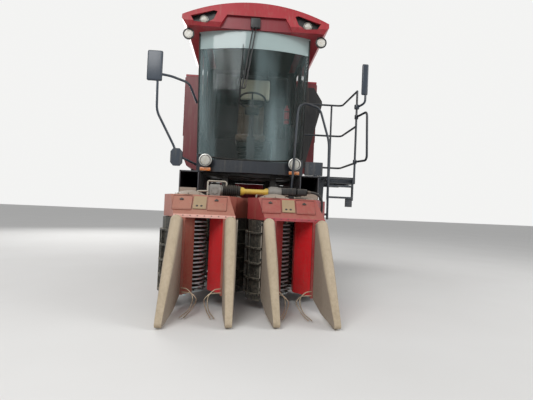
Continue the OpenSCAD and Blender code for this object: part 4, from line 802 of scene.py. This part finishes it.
def cushion(name, low, high, round_by, cap, channels):
    """Foam under cloth: a rounded block swollen by pressure, no point further than the cap, then drawn
    in along its sewn channels. A channel is the axis it is measured on, its place and the axis it cuts."""
    last_step, channel_half, channel_deep = 20, 0.02, 0.01
    low, high = Vector(low), Vector(high)
    form = bmesh.new()
    block(form, low, high, round_by, 5)
    made = piece(name, form)
    remesh = made.modifiers.new("even", "REMESH")
    remesh.mode, remesh.voxel_size = "VOXEL", 0.006
    data = meshed(made)
    made.modifiers.clear()
    made.data = data
    before = [v.co.copy() for v in data.vertices]
    soft = made.modifiers.new("swell", "CLOTH")
    soft.settings.use_pressure = True
    soft.settings.uniform_pressure_force = 4
    soft.settings.effector_weights.gravity = 0
    soft.point_cache.frame_start, soft.point_cache.frame_end = 1, last_step
    for step in range(1, last_step + 1):
        scene.frame_set(step)
    swollen = made.evaluated_get(bpy.context.evaluated_depsgraph_get()).data
    moved = [v.co.copy() for v in swollen.vertices]
    made.modifiers.clear()
    for v, old, new in zip(data.vertices, before, moved):
        shift = new - old
        v.co = old + (shift.normalized() * min(shift.length, cap) if shift.length else shift)
    scene.frame_set(1)
    middle = at(*((low + high) / 2))
    for v in data.vertices:
        for axis, spot, across in channels:
            gap = abs(v.co[axis] - middle[axis] - spot)
            if gap < channel_half:
                pull = channel_deep * (1 + cos(pi * gap / channel_half)) / 2
                off = v.co[across] - middle[across]
                v.co[across] -= copysign(min(pull, abs(off)), off)
    finer = made.modifiers.new("finer", "SUBSURF")
    finer.levels = finer.render_levels = 1
    carried(made, seat_cloth, "chassis")


seat_cloth = woven("seat_cloth", "6a5d50", "857868")
box_top, fold_high = 1.72, 0.055
form = bmesh.new()
block(form, (-0.2, 0.55, cab_floor), (0.2, 0.94, box_top), 0.015)
for i in range(5):
    x, z = 0.175 + 0.012 * (i % 2), box_top + i * fold_high
    block(form, (-x, 0.575, z), (x, 0.915, z + 0.05), 0.018)
block(form, (-0.205, 0.53, 1.995), (0.205, 0.94, 2.062), 0.012)
block(form, (-0.05, 0.93, 2.03), (0.05, 1.02, 2.06), 0.006)
block(form, (-0.05, 1.005, 2.03), (0.05, 1.028, 2.45), 0.006)
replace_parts(finish("seat_base", form, trim_dark), "seat")
cushion("seat_cushion", (-0.245, 0.485, 2.075), (0.245, 0.945, 2.185), 0.035, 0.013,
        [(0, -0.14, 2), (0, 0.14, 2)])
cushion("seat_back", (-0.225, 0.932, 2.21), (0.225, 1.018, 2.775), 0.032, 0.011,
        [(0, -0.13, 1), (0, 0.13, 1), (2, 0.1, 1)])


# Lamps: pressed bowls with a chrome bezel round a moulded lens, amber indicators below the headlamps,
# work lamps on brackets at the screen's top and bulbs in the roof's pockets.
def lens(name, tint, ribs):
    """A moulded lens with upright ribs and dust in patches."""
    made, shader, place = new_material(name)
    bands = add(place.id_data, "TexWave", Vector=place, Scale=ribs, Distortion=0.2)
    spots = noise(place, 60.0, 4.0)
    colour = mixed(ranged(spots, 0.45, 0.75), rgba(tint), rgba("b3a68c"))
    feed(shader, Base_Color=colour, Roughness=ranged(spots, 0.4, 0.8, 0.08, 0.4), Coat_Weight=0.6,
         Normal=relief(bands, 0.5, 0.002))
    return made


def bowl(form, profile, spot, radius, deep, steps):
    """A turned part of a lamp, its profile in parts of the lamp's radius and depth."""
    lathe(form, [(radius * out, deep * on) for out, on in profile], spot, ahead, steps)


def pushed(form, drawn, way):
    """Moves what an extrusion has drawn out along a way."""
    bmesh.ops.translate(form, vec=way, verts=[v for v in drawn["geom"] if isinstance(v, bmesh.types.BMVert)])


clear_lens = lens("clear_lens", "bfbfb8", 45.0)
amber_lens = lens("amber_lens", "d9772a", 60.0)
chrome = steel("bezel_chrome", "c6c6c3", "98968f", 0.16, 0.1)
head_x, work_x = 0.59, 0.89
shell_shape = [(0, 0), (0.6, 0), (0.86, 0.35), (0.97, 0.8), (0.97, 0.86), (0, 0.86)]
rim_shape = [(0.8, 0.862), (1, 0.862), (1, 0.95), (0.93, 1), (0.84, 1), (0.8, 0.93), (0.8, 0.862)]
seal_shape = [(0.745, 0.93), (0.8, 0.93), (0.8, 0.972), (0.745, 0.972), (0.745, 0.93)]
lens_shape = [(0, 0.995), (0.45, 0.985), (0.79, 0.93), (0.79, 0.865), (0, 0.865)]
pocket = [(0.857, 3.516), (0.813, 3.4445), (0.641, 3.4365), (0.562, 3.487), (0.5175, 3.604), (0.561, 3.6155)]
pocket_y, pocket_deep = -0.4262, 0.046
housings, bezels, lenses, ambers = bmesh.new(), bmesh.new(), bmesh.new(), bmesh.new()
for s in (-1, 1):
    # Distance from the middle, back face, height, radius, depth, and which mesh the rim joins
    for x, back, z, r, deep, rims in ((head_x, -0.377, 1.64, 0.084, 0.09, bezels),
                                      (work_x, -0.345, 3.315, 0.076, 0.065, housings)):
        spot = (s * x, back, z)
        bowl(housings, shell_shape, spot, r, deep, 36)
        bowl(rims, rim_shape, spot, r, deep, 40)
        bowl(housings, seal_shape, spot, r, deep, 40)
        bowl(lenses, lens_shape, spot, r, deep, 36)
    spot = (s * 0.69, -0.452, 3.492)
    lathe(housings, [(0.0525, -0.026), (0.056, -0.026), (0.056, 0.012), (0.0525, 0.012), (0.0525, -0.026)],
          spot, ahead, 32)
    lathe(bezels, [(0.043, 0.0085), (0.058, 0.0085), (0.058, 0.02), (0.05, 0.026), (0.043, 0.0085)],
          spot, ahead, 32)
    lathe(lenses, [(0, 0.03), (0.03, 0.027), (0.043, 0.018), (0.043, 0.013), (0, 0.013)], spot, ahead, 28)
    block(housings, (s * work_x - 0.012, -0.365, 3.386), (s * work_x + 0.012, -0.335, 3.4), 0.003, 1)
    block(ambers, (s * head_x - 0.07, -0.437, 1.502), (s * head_x + 0.07, -0.378, 1.55), 0.008)
    block(ambers, (s * head_x - 0.002, -0.439, 1.503), (s * head_x + 0.002, -0.43, 1.549), 0.001, 1)
# Black linings of the roof's pockets, clear of the walls
for s in (-1, 1):
    back = housings.faces.new([housings.verts.new((s * x, pocket_y, z)) for x, z in pocket])
    pushed(housings, bmesh.ops.extrude_edge_only(housings, edges=list(back.edges)), (0, -pocket_deep, 0))
finish("lamp_housings", housings, black_paint)
finish("lamp_bezels", bezels, chrome)
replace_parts(finish("lamp_lenses", lenses, clear_lens), "lamps")
finish("amber_lenses", ambers, amber_lens)

# Wiper: a motor box in the roof's recess and two thin parallel arms of steel rod, with an upright
# rubber blade on a carrier that lies on the glass.
box_front, spindle_z, wiper_y = -0.505, 3.43, screen_y(0.0) - 0.022
form = bmesh.new()
block(form, (-0.075, box_front, 3.412), (0.055, -0.4585, 3.545), 0.012, 3)
for x, radius in ((-0.04, 0.022), (0, 0.018)):
    lathe(form, [(0, 0), (radius, 0.0), (radius, 0.012), (0, 0.012)], (x, box_front, spindle_z), ahead, 20)
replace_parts(finish("wiper_motor", form, black_paint), "wiper")
tubes("wiper_arms", [
    [(x, -0.512, spindle_z), (x - 0.005, wiper_y - 0.02, 3.38), (x - 0.11, wiper_y, 2.62),
     (end_x, wiper_y, 2.62)]
    for x, end_x in ((-0.04, -0.19), (0, -0.17))
], 0.0095, black_paint, bend=0.02, sides=2)
form = bmesh.new()
pad(form, (0, 0, 0), (0.0045, 0.01, 0.53), 0.003, 1)
block(form, (-0.007, -0.02, -0.3), (0.007, -0.009, 0.3), 0.003, 1)
blade_lean = 0.0286
bmesh.ops.rotate(form, cent=(0, 0, 0), matrix=Matrix.Rotation(blade_lean, 3, "Y"), verts=form.verts)
bmesh.ops.translate(form, vec=(-0.175, wiper_y, 2.675), verts=form.verts)
finish("wiper_blade", form, gasket)

# Mirrors: pressed backs with rounded corners on bent tube arms, the right one's held to the guard
# rail by a clamp. The left one's lower stay carries a small box with cut corners.
mirror_back = paint("mirror_back", "28313c", "3c4754", "80786a", fade=0.5, dusty=0.2, chips=0.3, gloss=0.3)
mirror_face = steel("mirror_face", "e3e7e8", "cfd3d4", 0.04, 0.0)
mirror_edge = 0.014
form, face = bmesh.new(), bmesh.new()
for low, high in (((-1.345, -0.685, 2.583), (-1.155, -0.637, 2.963)),
                  ((1.53, -0.215, 2.7), (1.62, -0.177, 3.14))):
    block(form, low, high, 0.018, 4)
    block(face, (low[0] + mirror_edge, high[1] - 0.001, low[2] + mirror_edge),
          (high[0] - mirror_edge, high[1] + 0.0015, high[2] - mirror_edge), 0.001, 1)
outline = [(-1.041, 1.59), (-1.005, 1.548), (-0.925, 1.548), (-0.889, 1.59), (-0.889, 1.734),
           (-0.925, 1.776), (-1.005, 1.776), (-1.041, 1.734)]
plate = form.faces.new([form.verts.new((x, -0.475, z)) for x, z in outline])
pushed(form, bmesh.ops.extrude_face_region(form, geom=[plate]), (0, 0.05, 0))
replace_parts(finish("mirror_backs", form, mirror_back), "mirrors")
finish("mirror_faces", face, mirror_face)
tubes("mirror_arms", [
    [(-cab_half(2.44) - 0.0156, -0.24, 2.44), (-0.85, -0.43, 2.65), (-1.057, -0.605, 2.672),
     (-1.175, -0.66, 2.671)],
    [(-1.21, -0.66, 2.6), (-1.211, -0.62, 2.214), (-1.003, -0.456, 1.801), (-0.962, -0.448, 1.69),
     (-cab_half(1.6) - 0.0122, -0.22, 1.6)],
    [(1.521, -0.1, 2.556), (1.59, -0.195, 2.59), (1.59, -0.195, 2.702)],
], 0.0155, mirror_back, bend=0.07, sides=4)
post_x, post_y = 1.505, -0.08
form = bmesh.new()
lathe(form, [(0.0185, 0), (0.033, 0), (0.035, 0.004), (0.035, 0.056), (0.033, 0.06), (0.0185, 0.06),
             (0.0185, 0)], (post_x, post_y, 2.526), (0, 0, 1), 28)
finish("mirror_clamp", form, mirror_back)

# Guard rails of the platform, the fixed handrail with its loop, and the grab rail at the cab's corner:
# round steel tube, bent and welded, rubbed bright where hands hold it.
rail_paint = paint("rail_paint", "20252c", "3a424c", "7a7266", dusty=0.35, chips=0.7, under="7e7a73",
                   gloss=0.35)
rail_back, deck_z, grab_y = 0.8, 1.531, -0.505
rails = [[(post_x, post_y, z), (post_x, rail_back, z + 0.01), (0.9, rail_back, z + 0.01)]
         for z in (1.745, 2.275, 2.785)]
rails += [
    [(post_x, post_y, z) for z in (deck_z, 2.79)],
    [(1.33, rail_back, z) for z in (deck_z, 2.785)],
    [(post_x, post_y, 2.41), (1.565, -0.34, 2.425), (1.567, -0.38, 2.38), (1.585, -0.38, 1.8),
     (1.581, -0.34, 1.758), (post_x, post_y, 1.762)],
    [(x, grab_y, z) for x, z in ((0.556, 1.3), (0.598, 2.35), (0.626, 2.42), (0.7, 2.452), (0.862, 2.404),
                                 (0.905, 2.35), (1.03, 1.956), (1.044, 0.93))],
]
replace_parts(tubes("rail_tubes", rails, 0.0155, rail_paint, bend=0.08, sides=4), "guard_rails")
form = bmesh.new()
block(form, (0.556, grab_y, 1.484), (0.572, -0.24, 1.4997), 0.003, 1)
block(form, (1.028, grab_y, 1.48), (1.044, -0.128, 1.5), 0.003, 1)
block(form, (0.888, grab_y - 0.008, 0.98), (1.044, grab_y + 0.008, 1.01), 0.003, 1)
for z in (2.38, 1.732):
    lathe(form, [(0, 0), (0.025, 0), (0.027, 0.003), (0.027, 0.057), (0.025, 0.06), (0, 0.06)],
          (post_x, post_y, z), (0, 0, 1), 24)
    bolt(form, (post_x, post_y - 0.026, z + 0.03), ahead, 0.008, 0.007)
finish("rail_brackets", form, rail_paint)

# Platform and ladder: steel tread plate with a dimple pattern on the deck and the steps, under a film
# of wet dust, scraped by boots.
tread = paint("tread_plate", "2c3138", "464c54", "80786b", dusty=0.55, chips=0.8, under="8a857c", gloss=0.4)
shader, place = opened(tread)
turned = stretched(place, (36, 36, 36), Rotation=(0, 0, 0.785))
dimples = add(place.id_data, "TexVoronoi", 0, {"distance": "CHEBYCHEV"}, Vector=turned, Scale=1.0,
              Randomness=0.0)
feed(shader, Normal=relief(ranged(dimples, 0.18, 0.3, 1.0, 0.0), 0.6, 0.003, Normal=held(shader, "Normal")))
dress(tread, "platform", "ladder")

# Pipes and harness under the front panel: steel lines and looms of 18 mm along the cab's cross
# member, sagging a little between their ends.
pipe_paint = paint("pipe_paint", "2a2724", "3d3833", "73695b", fade=0.5, chips=0.3, gloss=0.6)
tubes("panel_pipes", [
    [(-0.55, -0.2, 1.47), (-0.35, -0.22, 1.44), (0.0, -0.22, 1.455), (0.3, -0.22, 1.43), (0.55, -0.2, 1.47)],
    [(-0.5, -0.16, 1.46), (-0.2, -0.18, 1.47), (0.2, -0.18, 1.44), (0.5, -0.16, 1.46)],
    [(-0.45, -0.14, 1.45), (-0.1, -0.14, 1.42), (0.15, -0.14, 1.46), (0.45, -0.14, 1.45)],
], 0.009, pipe_paint, bend=0.08)

# Basket walls: pressed sheet with upright ribs between the windows, a rail below and above them, and
# corner angles, all welded on.
wall_in, wall_out, wall_front, wall_rear = 1.1802, 1.196, 1.5, 3.64
back_in, back_out, rib_wide, rib_low, rib_high = 3.6702, 3.684, 0.028, 2.28, 3.335
form = bmesh.new()
for s in (-1, 1):
    x0, x1 = sorted((s * wall_in, s * wall_out))
    for y in (1.487, 2.226, 2.915, 3.628):
        block(form, (x0, y, rib_low), (x1, y + rib_wide, rib_high), 0.006)
    for low, high in ((2.285, 2.325), (3.262, 3.296)):
        block(form, (x0, wall_front, low), (x1, wall_rear, high), 0.006)
for x in (-1.165, -0.035, 1.137):
    block(form, (x, back_in, rib_low), (x + rib_wide, back_out, rib_high), 0.006)
for low, high in ((2.285, 2.325), (2.0, 2.03)):
    block(form, (-1.165, back_in, low), (1.165, back_out, high), 0.006)
# The ribs wear the maroon, a painted shade of the red
finish("basket_ribs", form, shaded_red_paint, "basket")

# Louvres of the engine's cowl: short folded blades of black sheet, in two stacks on each side, that
# let the hot air out.
louvre_x, louvre_low, louvre_step = 0.521, 1.17, 0.036
form = bmesh.new()
for s in (-1, 1):
    for i in range(7):
        z = louvre_low + i * louvre_step
        for front, rear in ((2.15, 2.6), (2.7, 3.1)):
            block(form, (s * louvre_x - 0.004, front, z), (s * louvre_x + 0.004, rear, z + 0.018), 0.003, 1)
finish("cowl_louvres", form, black_paint)
